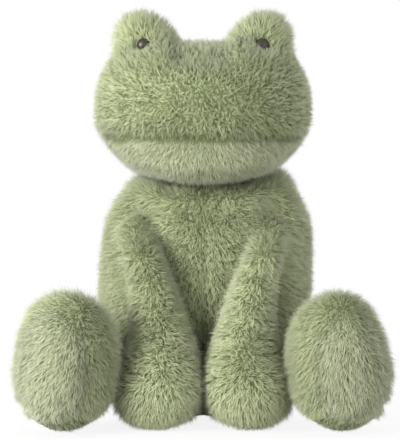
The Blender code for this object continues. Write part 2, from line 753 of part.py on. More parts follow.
def build_foot(side, label, ankle):
    """Make one foot's upper, its sole and its stuffing, hollowed for the end of the leg."""
    forward = Vector((side * math.sin(FOOT_SPLAY), -math.cos(FOOT_SPLAY), 0))
    rings = foot_rings(ankle, forward)
    ways = outward_ways(rings)
    outer = rings.copy()
    outer[:, :, 2] = np.maximum(outer[:, :, 2], 0)
    inner = moved_in(rings, ways, FUR_THICKNESS, True)
    filling = moved_in(rings, ways, FUR_THICKNESS + LINING_GAP, True)
    half_gap = SEAM_GAP / 2
    upper = slice(0, UPPER_RINGS + 1)
    sole = slice(UPPER_RINGS, None)
    back_way, front_way = -forward * half_gap, forward * half_gap
    pieces = [
        panel(label + "_foot_upper", outer[upper], inner[upper], sage_fur(), back_way),
        panel(label + "_foot_sole", outer[sole], inner[sole], pale_fur(), front_way),
        core(label + "_foot_stuffing", filling, stuffing()),
    ]
    socket = ball_cutter(label + "_ankle_socket", ankle, ANKLE_RADIUS)
    cut([pieces[0], pieces[2]], socket)
    return pieces


def build_frog():
    """Make the whole toy and hang its moving pieces on their joints."""
    walls, seat, filled, bag = build_torso()
    neck_at = (0, 0, NECK_HEIGHT)
    neck_socket = ball_cutter("neck_socket", neck_at, NECK_PLUG_RADIUS, NECK_SIDES)
    neck_turn = pivot("neck_turn_pivot", neck_at)
    neck_nod = pivot("neck_nod_pivot", neck_at, neck_turn)
    ball = arc(0, NECK_PLUG_RADIUS, 0, math.pi, NECK_SIDES // 2 + 1)
    plug = turned("neck_plug", ball, NECK_SIDES, neck_at, (0, 0, 1), stuffing())
    carry([plug], neck_turn)

    face, jaw, nape, inside = build_head()
    cut([jaw, nape, inside], neck_socket)
    head = [face, jaw, nape, inside]
    for side, label in ((1, "left"), (-1, "right")):
        mound, forms = build_mound(side, label)
        cut([face, inside], *forms)
        cut([nape], forms[0])
        head += mound
    carry(head, neck_nod)

    cut([*walls, filled], neck_socket)
    for side, label in ((1, "left"), (-1, "right")):
        arm, shoulder = build_arm(side, label)
        leg, hip, ankle = build_leg(side, label)
        foot = build_foot(side, label, ankle)
        shoulder_socket = ball_cutter(label + "_shoulder_socket", shoulder, SHOULDER_RADIUS + SEAM_GAP)
        hip_socket = ball_cutter(label + "_hip_socket", hip, HIP_RADIUS)
        near = [wall for wall in walls if wall.name.endswith(label)]
        cut([near[1], filled], shoulder_socket)
        cut([*near, filled], hip_socket)
        carry(arm, pivot(label + "_shoulder_pivot", shoulder))
        hip_pivot = pivot(label + "_hip_pivot", hip)
        carry(leg, hip_pivot)
        carry(foot, pivot(label + "_ankle_pivot", ankle, hip_pivot))


clear_scene()
build_frog()
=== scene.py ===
"""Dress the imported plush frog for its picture: sewn cloth forms, long pile, eyes, floor, light and camera.

Lengths are metres unless a name ends in mm or cm2, +Z is up and the frog faces -Y. Each body gets one
closed cloth form, swollen between its seams, and each panel of that cloth gets its own pile of fibres.
"""

import json
import logging
import math
from collections.abc import Iterable
from dataclasses import dataclass, field, replace
from enum import Enum

import bmesh  # noqa: E402
import bpy  # noqa: E402
import numpy as np  # noqa: E402
from bpy.types import ID, Material, Mesh, Node, NodeSocket, NodeTree, Object  # noqa: E402
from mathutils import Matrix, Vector, noise  # noqa: E402
from mathutils.bvhtree import BVHTree  # noqa: E402

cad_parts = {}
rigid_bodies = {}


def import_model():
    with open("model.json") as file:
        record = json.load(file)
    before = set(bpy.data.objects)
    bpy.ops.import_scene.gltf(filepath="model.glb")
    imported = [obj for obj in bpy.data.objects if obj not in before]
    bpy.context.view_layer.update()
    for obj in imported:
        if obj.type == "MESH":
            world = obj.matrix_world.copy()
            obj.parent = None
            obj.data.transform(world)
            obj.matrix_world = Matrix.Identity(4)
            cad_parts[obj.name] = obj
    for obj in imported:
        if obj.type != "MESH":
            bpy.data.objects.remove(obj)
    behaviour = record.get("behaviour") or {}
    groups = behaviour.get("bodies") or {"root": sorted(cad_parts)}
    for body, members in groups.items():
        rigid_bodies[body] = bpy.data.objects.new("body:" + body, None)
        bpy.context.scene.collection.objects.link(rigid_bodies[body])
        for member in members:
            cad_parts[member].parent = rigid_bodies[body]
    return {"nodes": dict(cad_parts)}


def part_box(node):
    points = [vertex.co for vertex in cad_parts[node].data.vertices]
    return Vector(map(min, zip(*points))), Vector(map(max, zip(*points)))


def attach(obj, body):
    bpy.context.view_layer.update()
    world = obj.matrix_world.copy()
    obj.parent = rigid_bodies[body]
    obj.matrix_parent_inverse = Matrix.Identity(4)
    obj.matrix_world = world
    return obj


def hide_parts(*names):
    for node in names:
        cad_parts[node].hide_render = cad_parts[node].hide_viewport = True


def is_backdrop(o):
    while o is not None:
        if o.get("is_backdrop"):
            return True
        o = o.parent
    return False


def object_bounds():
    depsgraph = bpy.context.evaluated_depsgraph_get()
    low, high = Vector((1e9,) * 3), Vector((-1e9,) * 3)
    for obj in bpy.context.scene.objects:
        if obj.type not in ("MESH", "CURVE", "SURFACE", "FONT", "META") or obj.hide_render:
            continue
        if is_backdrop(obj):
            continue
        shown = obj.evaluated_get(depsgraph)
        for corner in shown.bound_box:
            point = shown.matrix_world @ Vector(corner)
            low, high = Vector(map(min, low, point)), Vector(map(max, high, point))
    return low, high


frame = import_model()
log = logging.getLogger("plush_frog")

MM = 0.001
PER_CM2 = 1e4
NO_LENGTH = 1e-9
BLOWN_FRAMES = 9
# How the cloth is blown up. The panels are cut a twentieth larger than the seams hold them.
BLOWING = {
    "quality": 5,
    "mass": 0.2,
    "tension_stiffness": 12,
    "compression_stiffness": 12,
    "bending_stiffness": 0.4,
    "use_pressure": True,
    "shrink_min": -0.05,
    "uniform_pressure_force": 8,
    "vertex_group_mass": "seams",
}
ACROSS = (1.0, 0.0, 0.0)
UP = (0.0, 0.0, 1.0)
FLOOR_CLEARANCE = 0.4 * MM
BAKE_MAP = "OFBake"


class Side(Enum):
    """The frog's own two sides."""

    LEFT = 1
    RIGHT = -1

    @property
    def label(self) -> str:
        """Return the side's name as the CAD nodes have it."""
        return self.name.lower()


def linear(hex_colour: str) -> tuple[float, float, float, float]:
    """Turn an sRGB hex colour to linear red, green, blue and full opacity.

    Args:
        hex_colour: Six hex digits after a number sign.

    Returns:
        The linear colour with an alpha of one.
    """
    parts = [int(hex_colour[k : k + 2], 16) / 255 for k in (1, 3, 5)]
    red, green, blue = (c / 12.92 if c <= 0.04045 else ((c + 0.055) / 1.055) ** 2.4 for c in parts)
    return red, green, blue, 1.0


def feed(node: Node, inputs: dict) -> None:
    """Give a node its inputs.

    Args:
        node: The node that gets them.
        inputs: For each input, by name or number, a value, an output socket, or a node whose first
            live output is linked.
    """
    for key, value in inputs.items():
        live = [s for s in node.inputs if s.enabled]
        socket = live[key] if isinstance(key, int) else next(s for s in live if s.name == key)
        if isinstance(value, Node):
            value = next(s for s in value.outputs if s.enabled)
        if isinstance(value, NodeSocket):
            node.id_data.links.new(value, socket)
        else:
            socket.default_value = value


def add_node(tree: NodeTree, kind: str, settings: dict | None = None, inputs: dict | None = None) -> Node:
    """Add one node to a tree, with values of its own properties as settings, and feed it."""
    node = tree.nodes.new(kind)
    for key, value in (settings or {}).items():
        setattr(node, key, value)
    feed(node, inputs or {})
    return node


def surface(name: str, **looks: object) -> tuple[Material, NodeTree, Node]:
    """Start a material with its one shader.

    Args:
        name: The material's name.
        **looks: Values of the shader's inputs, with an underscore for each space in their names.

    Returns:
        The material, its tree and its shader.
    """
    made = bpy.data.materials.new(name)
    made.use_nodes = True
    shader = made.node_tree.nodes["Principled BSDF"]
    for label, value in looks.items():
        shader.inputs[label.replace("_", " ")].default_value = value
    return made, made.node_tree, shader


def ramp_of(tree: NodeTree, share: object, stops: tuple[tuple[float, str], ...]) -> Node:
    """Add a colour ramp that turns a share into the colours of its stops."""
    node = add_node(tree, "ShaderNodeValToRGB", inputs={"Fac": share})
    elements = node.color_ramp.elements
    while len(elements) < len(stops):
        elements.new(0.5)
    for element, (place, colour) in zip(elements, stops):
        element.position = place
        element.color = linear(colour)
    return node


def noise_of(tree: NodeTree, scale: float, detail: float) -> NodeSocket:
    """Add noise over the object's own space and return its value."""
    place = add_node(tree, "ShaderNodeTexCoord").outputs["Object"]
    made = add_node(tree, "ShaderNodeTexNoise", inputs={"Vector": place, "Scale": scale, "Detail": detail})
    return made.outputs["Fac"]


def unit(ways: np.ndarray) -> np.ndarray:
    """Return ways brought to a length of one, and a way of no length as it is."""
    lengths = np.linalg.norm(ways, axis=-1, keepdims=True)
    return ways / np.where(lengths > 0, lengths, 1)


def fade(values: np.ndarray, start: float, end: float) -> np.ndarray:
    """Return a smooth share that goes from 0 at start to 1 at end, whichever is larger."""
    t = np.clip((values - start) / (end - start), 0, 1)
    return t * t * (3 - 2 * t)


def hump(distance: np.ndarray, width: float) -> np.ndarray:
    """Return a smooth share that is 1 at no distance and falls off over a width."""
    return np.exp(-((distance / width) ** 2))


def drift(points: np.ndarray, size: float, shift: float) -> np.ndarray:
    """Return slow noise from -1 to 1 at the points.

    Args:
        points: Places, one row each.
        size: The width of one patch of the noise.
        shift: A number that picks another part of the same noise.

    Returns:
        One value for each point.
    """
    return np.array([noise.noise(Vector(p) / size + Vector((shift, shift, shift))) for p in points])


def gap_to(node: str, places: np.ndarray) -> np.ndarray:
    """Return each place's distance from the surface of a CAD node."""
    source = frame["nodes"][node].data
    corners = [v.co for v in source.vertices]
    tree = BVHTree.FromPolygons(corners, [tuple(p.vertices) for p in source.polygons])
    return np.array([tree.find_nearest(Vector(p))[3] for p in places])


def middle_of(*nodes: str) -> np.ndarray:
    """Return the middle of the box round some CAD nodes."""
    low = np.min([tuple(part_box(node)[0]) for node in nodes], axis=0)
    high = np.max([tuple(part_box(node)[1]) for node in nodes], axis=0)
    return (low + high) / 2


@dataclass(frozen=True)
class PileDye:
    """Acrylic faux-fur fibre, piece-dyed sage green.

    The fibres are matt with a soft sheen. Painted shade makes them darker and duller at the root, where no
    light gets in, and they are paler towards the tip. Fibres of one cloth are dyed a little differently.
    """

    name: str
    # Root to tip: the darker root is painted shade, where no light gets into the pile.
    root: str = "#889170"
    middle: str = "#c6cea8"
    tip: str = "#e6ead0"
    # The ends of the fibre's tone, which carries painted shade and light as well as random differences in
    # dyeing.
    deep: str = "#989d85"
    pale: str = "#eeeee2"

    def material(self) -> Material:
        """Make the fibre's material, reading root to tip and its tone with painted shade off its map."""
        looks = {"Roughness": 0.75, "Specular_IOR_Level": 0.25, "Sheen_Weight": 0.25, "Sheen_Roughness": 0.5}
        made, tree, shader = surface(self.name, **looks)
        place = add_node(tree, "ShaderNodeUVMap", {"uv_map": BAKE_MAP})
        parts = add_node(tree, "ShaderNodeSeparateXYZ", inputs={"Vector": place}).outputs
        along = ramp_of(tree, parts["X"], ((0.0, self.root), (0.45, self.middle), (1.0, self.tip)))
        depth = ramp_of(tree, parts["Y"], ((0.0, self.deep), (1.0, self.pale)))
        mixing = {"data_type": "RGBA", "blend_type": "MULTIPLY"}
        mixed = add_node(tree, "ShaderNodeMix", mixing, {"Factor": 1.0, "A": along, "B": depth})
        feed(shader, {"Base Color": mixed})
        return made


@dataclass(frozen=True)
class KnitBacking:
    """Tricot-knitted polyester backing of the faux fur, seen between fibres and painted dark there as shade.
    """

    name: str = "knit_backing"
    # Both colours are painted shade, darker than the fibres so that the ground between them reads as depth.
    ground: str = "#565f40"
    lit: str = "#6f7854"
    loop_mm: float = 1.6
    patch_mm: float = 14.0

    def material(self) -> Material:
        """Make the backing's material: painted shade in soft patches, and the courses of the knit as bump."""
        made, tree, shader = surface(self.name, Roughness=0.95, Specular_IOR_Level=0.1)
        patches = noise_of(tree, 1 / (self.patch_mm * MM), 3.0)
        ramp = ramp_of(tree, patches, ((0.3, self.ground), (0.7, self.lit)))
        feed(shader, {"Base Color": ramp})
        # The real loops are about 0.4 mm, too fine to show, so they are drawn four times as coarse.
        place = add_node(tree, "ShaderNodeTexCoord").outputs["Object"]
        loops = add_node(
            tree,
            "ShaderNodeTexWave",
            {"wave_type": "BANDS", "bands_direction": "Z"},
            {"Vector": place, "Scale": 0.5 / (self.loop_mm * MM), "Distortion": 1.5, "Detail": 2.0},
        ).outputs["Fac"]
        relief = {"Strength": 0.4, "Distance": 0.5 * MM, "Height": loops}
        bump = add_node(tree, "ShaderNodeBump", inputs=relief)
        feed(shader, {"Normal": bump})
        return made


@dataclass(frozen=True)
class EyePlastic:
    """Injection-moulded brown acrylic of a safety eye, its polish dulled by handling and dust."""

    name: str = "moulded_brown_acrylic"
    body: str = "#1b160a"
    ring: str = "#302a17"

    def material(self) -> Material:
        """Make the eye's material, a little lighter in soft clouds, with handling marks in its gloss."""
        made, tree, shader = surface(self.name, IOR=1.49)
        ramp = ramp_of(tree, noise_of(tree, 260.0, 2.0), ((0.0, self.body), (1.0, self.ring)))
        feed(shader, {"Base Color": ramp})
        marks = {"Value": noise_of(tree, 1400.0, 3.0), "To Min": 0.3, "To Max": 0.48}
        gloss = add_node(tree, "ShaderNodeMapRange", inputs=marks)
        feed(shader, {"Roughness": gloss})
        return made


@dataclass(frozen=True)
class WasherPlastic:
    """Injection-moulded natural polyethylene of the eyes' locking washers: milky white and waxy."""

    name: str = "moulded_white_polyethylene"
    thin: str = "#e9e8e2"
    thick: str = "#f4f3ee"

    def material(self) -> Material:
        """Make the washer's material, with faint flow clouds and a dull waxy gloss."""
        made, tree, shader = surface(self.name, Roughness=0.4, Subsurface_Weight=0.1)
        ramp = ramp_of(tree, noise_of(tree, 300.0, 2.0), ((0.0, self.thin), (1.0, self.thick)))
        feed(shader, {"Base Color": ramp})
        return made


@dataclass(frozen=True)
class Pelt:
    """The pile at each point of a cloth: which way it lies, its length, rise, density and tone with painted
    shade.
    """

    nap: np.ndarray
    length: np.ndarray
    stand: np.ndarray
    # Tone with painted shade and light: darker in creases and under things, one side of a limb paler.
    tint: np.ndarray
    thick: np.ndarray


@dataclass(frozen=True)
class PileCut:
    """How the pile of one panel is sheared and how its fibres gather in tufts."""

    length: float = 9.8 * MM
    width: float = 0.56 * MM
    strands_per_cm2: float = 110.0
    tufts_per_cm2: float = 18.0
    clump: float = 0.36
    scatter: float = 0.48
    strand_limit: int = 33500


class PileTree:
    """The Geometry Nodes tree that grows the fibres of one panel on its patch of cloth.

    Each fibre is a thin three-sided cone, bent once, that leans the way the nap lies and is drawn
    towards the tip of the nearest tuft.
    """

    name = "long_pile"
    undercoat_share = 0.79
    undercoat_short = 0.3
    tuft_pale = 0.16
    fibre_pale = 0.14
    bend_share = 0.38
    bend_rise = 0.3
    root_depth = 0.4 * MM
    corner_reach = 0.577
    blade_flat = 0.4
    softness = 0.65
    far_below = -10.0
    sizes = (
        ("Strands", 60e4),
        ("Tufts", 7e4),
        ("Length", 11 * MM),
        ("Width", 0.9 * MM),
        ("Clump", 0.6),
        ("Scatter", 0.4),
        ("Floor", FLOOR_CLEARANCE),
    )
    stored = ("root", "bend", "tip", "dye", "girth", "under", "unit_place")
    carried = ("nap", "out", "length", "stand", "tint", "thick", "id")

    def __init__(self) -> None:
        """Build the tree once for all panels."""
        self.tree = bpy.data.node_groups.new(self.name, "GeometryNodeTree")
        sockets = self.tree.interface
        sockets.new_socket("Geometry", in_out="INPUT", socket_type="NodeSocketGeometry")
        for label, size in self.sizes:
            sockets.new_socket(label, in_out="INPUT", socket_type="NodeSocketFloat").default_value = size
        sockets.new_socket("Seed", in_out="INPUT", socket_type="NodeSocketInt")
        sockets.new_socket("Fibre", in_out="INPUT", socket_type="NodeSocketMaterial")
        sockets.new_socket("Geometry", in_out="OUTPUT", socket_type="NodeSocketGeometry")
        self.given = self._node("NodeGroupInput").outputs
        self.position = self._node("GeometryNodeInputPosition")
        self._fibres(self._roots(self._tufts()))

    def _node(self, kind: str, settings: dict | None = None, **inputs: object) -> Node:
        """Add a node to the tree, its inputs named with an underscore for each space."""
        named = {label.replace("_", " "): value for label, value in inputs.items()}
        return add_node(self.tree, kind, settings, named)

    def _maths(self, operation: str, *values: object) -> Node:
        """Add a number operation on the values."""
        return add_node(self.tree, "ShaderNodeMath", {"operation": operation}, dict(enumerate(values)))

    def _vectors(self, operation: str, *values: object) -> Node:
        """Add a vector operation on the values."""
        return add_node(self.tree, "ShaderNodeVectorMath", {"operation": operation}, dict(enumerate(values)))

    def _joined(self, *values: object) -> Node:
        """Join up to three numbers to a vector."""
        return add_node(self.tree, "ShaderNodeCombineXYZ", inputs=dict(enumerate(values)))

    def _mixed(self, share: object, first: object, second: object) -> Node:
        """Mix two vectors by a share of the second."""
        return self._node("ShaderNodeMix", {"data_type": "VECTOR"}, Factor=share, A=first, B=second)

    def _above_floor(self, place: object) -> Node:
        """Keep a place from going through the floor."""
        low = self._joined(self.far_below, self.far_below, self.given["Floor"])
        return self._vectors("MAXIMUM", place, low)

    def _read(self, name: str, kind: str = "FLOAT_VECTOR") -> Node:
        """Read a named attribute."""
        return self._node("GeometryNodeInputNamedAttribute", {"data_type": kind}, Name=name)

    def _store(self, geometry: object, name: str, value: object, kind: str = "FLOAT_VECTOR") -> Node:
        """Store a named attribute on points."""
        settings = {"data_type": kind, "domain": "POINT"}
        given = {"Geometry": geometry, "Name": name, "Value": value}
        return self._node("GeometryNodeStoreNamedAttribute", settings, **given)

    def _random(self, low: float, high: float, offset: int) -> Node:
        """Add a random number for each point, from the panel's seed."""
        seed = self._maths("ADD", self.given["Seed"], offset)
        return self._node("FunctionNodeRandomValue", {"data_type": "FLOAT"}, Min=low, Max=high, Seed=seed)

    def _spread(self, density: object, offset: int) -> Node:
        """Scatter points over the patch, thinner where the cloth says so."""
        seed = self._maths("ADD", self.given["Seed"], offset)
        share = self._maths("MULTIPLY", density, self._read("thick", "FLOAT"))
        kind = "GeometryNodeDistributePointsOnFaces"
        settings = {"distribute_method": "RANDOM"}
        return self._node(kind, settings, Mesh=self.given["Geometry"], Density=share, Seed=seed)

    def _way(self, share: float, offset: int) -> Node:
        """Return the way that a fibre or a tuft leans: the nap, lifted, and scattered by a share."""
        stand = self._read("stand", "FLOAT")
        flat = self._vectors("SCALE", self._read("nap"), self._maths("SUBTRACT", 1.0, stand))
        up = self._vectors("SCALE", self._read("out"), stand)
        loose = self._joined(*(self._random(-1.0, 1.0, offset + k) for k in range(3)))
        strayed = self._vectors("SCALE", loose, self._maths("MULTIPLY", self.given["Scatter"], share))
        return self._vectors("NORMALIZE", self._vectors("ADD", self._vectors("ADD", flat, up), strayed))

    def _reach(self, low: float, high: float, offset: int) -> Node:
        """Return the fibre's length here, varied between two shares."""
        cut = self._maths("MULTIPLY", self.given["Length"], self._read("length", "FLOAT"))
        return self._maths("MULTIPLY", cut, self._random(low, high, offset))

    def _tufts(self) -> Node:
        """Scatter the tufts and store where each one's tip is."""
        lean = self._vectors("SCALE", self._way(1.0, 20), self._reach(0.8, 1.12, 25))
        tip = self._vectors("ADD", self.position, lean)
        kept = self._store(self._spread(self.given["Tufts"], 11), "tuft_tip", tip)
        return self._store(kept, "tuft_shade", self._random(-self.tuft_pale, self.tuft_pale, 27), "FLOAT")

    def _of_tuft(self, tufts: object, nearest: object, name: str, kind: str) -> Node:
        """Read what each fibre's nearest tuft has stored."""
        settings = {"data_type": kind, "domain": "POINT"}
        value = self._read(name, kind)
        return self._node("GeometryNodeSampleIndex", settings, Geometry=tufts, Value=value, Index=nearest)

    def _roots(self, tufts: Node) -> Node:
        """Scatter the roots and store each fibre's root, bend, tip and tone with its painted shade."""
        sampling = {"Geometry": tufts, "Sample_Position": self.position}
        nearest = self._node("GeometryNodeSampleNearest", {"domain": "POINT"}, **sampling)
        drawn = self._of_tuft(tufts, nearest, "tuft_tip", "FLOAT_VECTOR")
        shade = self._of_tuft(tufts, nearest, "tuft_shade", "FLOAT")
        under = self._maths("LESS_THAN", self._random(0.0, 1.0, 50), self.undercoat_share)
        shorter = self._maths("SUBTRACT", 1.1, self._maths("MULTIPLY", under, self.undercoat_short))
        reach = self._maths("MULTIPLY", self._reach(0.66, 1.14, 30), shorter)
        own = self._vectors("ADD", self.position, self._vectors("SCALE", self._way(0.8, 31), reach))
        tip = self._mixed(self.given["Clump"], own, drawn)
        rise = self._vectors("SCALE", self._read("out"), self._maths("MULTIPLY", reach, self.bend_rise))
        bend = self._vectors("ADD", self._mixed(self.bend_share, self.position, tip), rise)
        sunk = self._vectors("SCALE", self._read("out"), -self.root_depth)
        # The fibre's tone is the cloth's painted shade and light, plus the random shade of its tuft and its
        # own.
        dye = self._maths("ADD", self._read("tint", "FLOAT"), shade)
        dye = self._maths("ADD", dye, self._random(-self.fibre_pale, self.fibre_pale, 40))
        kept = self._store(self._spread(self.given["Strands"], 3), "dye", dye, "FLOAT")
        kept = self._store(kept, "girth", self._random(0.65, 1.25, 44), "FLOAT")
        kept = self._store(kept, "under", under, "FLOAT")
        kept = self._store(kept, "bend", self._above_floor(bend))
        kept = self._store(kept, "tip", self._above_floor(tip))
        return self._store(kept, "root", self._vectors("ADD", self.position, sunk))

    def _cones(self, roots: Node) -> Node:
        """Stand a bent unit cone on each guard hair's root and a straight one on the undercoat's."""
        under = self._read("under", "FLOAT")
        both = self._node("GeometryNodeJoinGeometry")
        for chosen, segments in ((self._maths("SUBTRACT", 1.0, under), 2), (under, 1)):
            sizes = {"Vertices": 3, "Side_Segments": segments, "Radius_Top": 0.0, "Radius_Bottom": 1.0}
            cone = self._node("GeometryNodeMeshCone", {"fill_type": "NGON"}, **sizes, Depth=1.0)
            smooth = self._node("GeometryNodeSetShadeSmooth", Geometry=cone, Shade_Smooth=True)
            kept = self._store(smooth, "unit_place", self.position)
            kind = "GeometryNodeInstanceOnPoints"
            placed = self._node(kind, Points=roots, Instance=kept, Selection=chosen)
            self.tree.links.new(placed.outputs[0], both.inputs[0])
        return self._node("GeometryNodeRealizeInstances", Geometry=both)

    def _blade(self, across: object, deep: object, along: object) -> Node:
        """Return the place of a cone's vertex once the cone is bent along its fibre.

        The cone is flattened to a blade, with one flat side turned outwards to catch the light.

        Args:
            across: The vertex's unit place over the width of the fibre.
            deep: Its unit place through the thickness.
            along: Its share of the way from root to tip.

        Returns:
            The vertex's place, above the floor.
        """
        root, bend, tip = self._read("root"), self._read("bend"), self._read("tip")
        middle = self._mixed(along, self._mixed(along, root, bend), self._mixed(along, bend, tip))
        axis = self._vectors("NORMALIZE", self._vectors("SUBTRACT", tip, root))
        beside = self._vectors("NORMALIZE", self._vectors("CROSS_PRODUCT", self._read("out"), axis))
        upright = self._vectors("CROSS_PRODUCT", axis, beside)
        half = self._maths("MULTIPLY", self.given["Width"], self.corner_reach)
        half = self._maths("MULTIPLY", half, self._read("girth", "FLOAT"))
        aside = self._vectors("SCALE", beside, self._maths("MULTIPLY", across, half))
        thin = self._maths("MULTIPLY", half, -self.blade_flat)
        outward = self._vectors("SCALE", upright, self._maths("MULTIPLY", deep, thin))
        return self._above_floor(self._vectors("ADD", self._vectors("ADD", middle, aside), outward))

    def _fibres(self, roots: Node) -> None:
        """Turn the roots into fibres with their normals, their map and their material."""
        real = self._cones(roots)
        parts = self._node("ShaderNodeSeparateXYZ", Vector=self._read("unit_place")).outputs
        along = parts["Z"]
        place = self._blade(parts["Y"], parts["X"], along)
        placed = self._node("GeometryNodeSetPosition", Geometry=real, Position=place)
        # The fibre's normal leans towards the cloth's, because light scatters through a dense pile.
        soft = self._mixed(self.softness, self._node("GeometryNodeInputNormal"), self._read("out"))
        free = {"mode": "FREE", "domain": "POINT"}
        normal = self._vectors("NORMALIZE", soft)
        lit = self._node("GeometryNodeSetMeshNormal", free, Mesh=placed, Custom_Normal=normal)
        # The map holds the fibre's tone with its painted shade, and the two sides of a fibre lie a little
        # apart on it.
        depth = self._maths("ADD", self._read("dye", "FLOAT"), self._maths("MULTIPLY", parts["Y"], 0.02))
        spot = self._joined(along, self._node("ShaderNodeClamp", Value=depth, Min=0.02, Max=0.98))
        flat = {"data_type": "FLOAT2", "domain": "CORNER"}
        mapped = self._node("GeometryNodeStoreNamedAttribute", flat, Geometry=lit, Name=BAKE_MAP, Value=spot)
        dressed = self._node("GeometryNodeSetMaterial", Geometry=mapped, Material=self.given["Fibre"])
        self._node("NodeGroupOutput", Geometry=dressed)

    def grow(self, name: str, patch: Mesh, cut: PileCut, dye: Material, seed: int) -> Object:
        """Grow the pile of one panel as a plain mesh.

        Args:
            name: The name of the finished piece.
            patch: The panel's cloth with the attributes of its pelt.
            cut: How the pile is sheared.
            dye: The fibre's material.
            seed: The panel's own random seed.

        Returns:
            The piece, which holds only the fibres.
        """
        area = sum(face.area for face in patch.polygons)
        values = {
            "Strands": min(cut.strands_per_cm2 * PER_CM2, cut.strand_limit / area),
            "Tufts": cut.tufts_per_cm2 * PER_CM2,
            "Length": cut.length,
            "Width": cut.width,
            "Clump": cut.clump,
            "Scatter": cut.scatter,
            "Seed": seed,
            "Fibre": dye,
        }
        piece = link_object(name, patch)
        modifier = piece.modifiers.new("pile", "NODES")
        modifier.node_group = self.tree
        for item in self.tree.interface.items_tree:
            if item.in_out == "INPUT" and item.name in values:
                modifier[item.identifier] = values[item.name]
        through_modifiers(piece)
        piece.data.name = name
        for spare in (*self.stored, *self.carried):
            found = piece.data.attributes.get(spare)
            if found:
                piece.data.attributes.remove(found)
        return piece


def link_object(name: str, data: ID) -> Object:
    """Put a mesh, a lamp or a camera in the scene under its name."""
    made = bpy.data.objects.new(name, data)
    bpy.context.scene.collection.objects.link(made)
    return made


def through_modifiers(made: Object) -> None:
    """Turn an object's live modifiers into its plain mesh."""
    graph = bpy.context.evaluated_depsgraph_get()
    mesh = bpy.data.meshes.new_from_object(made.evaluated_get(graph))
    made.modifiers.clear()
    made.data = mesh


def rows(items: object, name: str) -> np.ndarray:
    """Return a three-number value of each of a mesh's items, one row each."""
    flat = np.empty(len(items) * 3)
    items.foreach_get(name, flat)
    return flat.reshape(-1, 3)


def vertex_places(mesh: Mesh) -> np.ndarray:
    """Return the places of a mesh's vertices."""
    return rows(mesh.vertices, "co")


def vertex_ways(mesh: Mesh) -> np.ndarray:
    """Return the outward ways of a mesh's vertices."""
    return rows(mesh.vertex_normals, "vector")


def set_places(mesh: Mesh, places: np.ndarray) -> None:
    """Move a mesh's vertices."""
    mesh.vertices.foreach_set("co", places.ravel())
    mesh.update()


def smoothed(mesh: Mesh, values: np.ndarray, rounds: int) -> np.ndarray:
    """Average each vertex's value with its neighbours' several times.

    Args:
        mesh: The mesh whose edges say which vertices are neighbours.
        values: One row for each vertex.
        rounds: How often to average.

    Returns:
        The averaged values.
    """
    flat = np.empty(len(mesh.edges) * 2, int)
    mesh.edges.foreach_get("vertices", flat)
    first, second = flat.reshape(-1, 2).T
    count = np.bincount(flat, minlength=len(values))[:, None]
    for _ in range(rounds):
        total = np.zeros_like(values)
        np.add.at(total, first, values[second])
        np.add.at(total, second, values[first])
        values = 0.5 * values + 0.5 * total / np.maximum(count, 1)
    return values


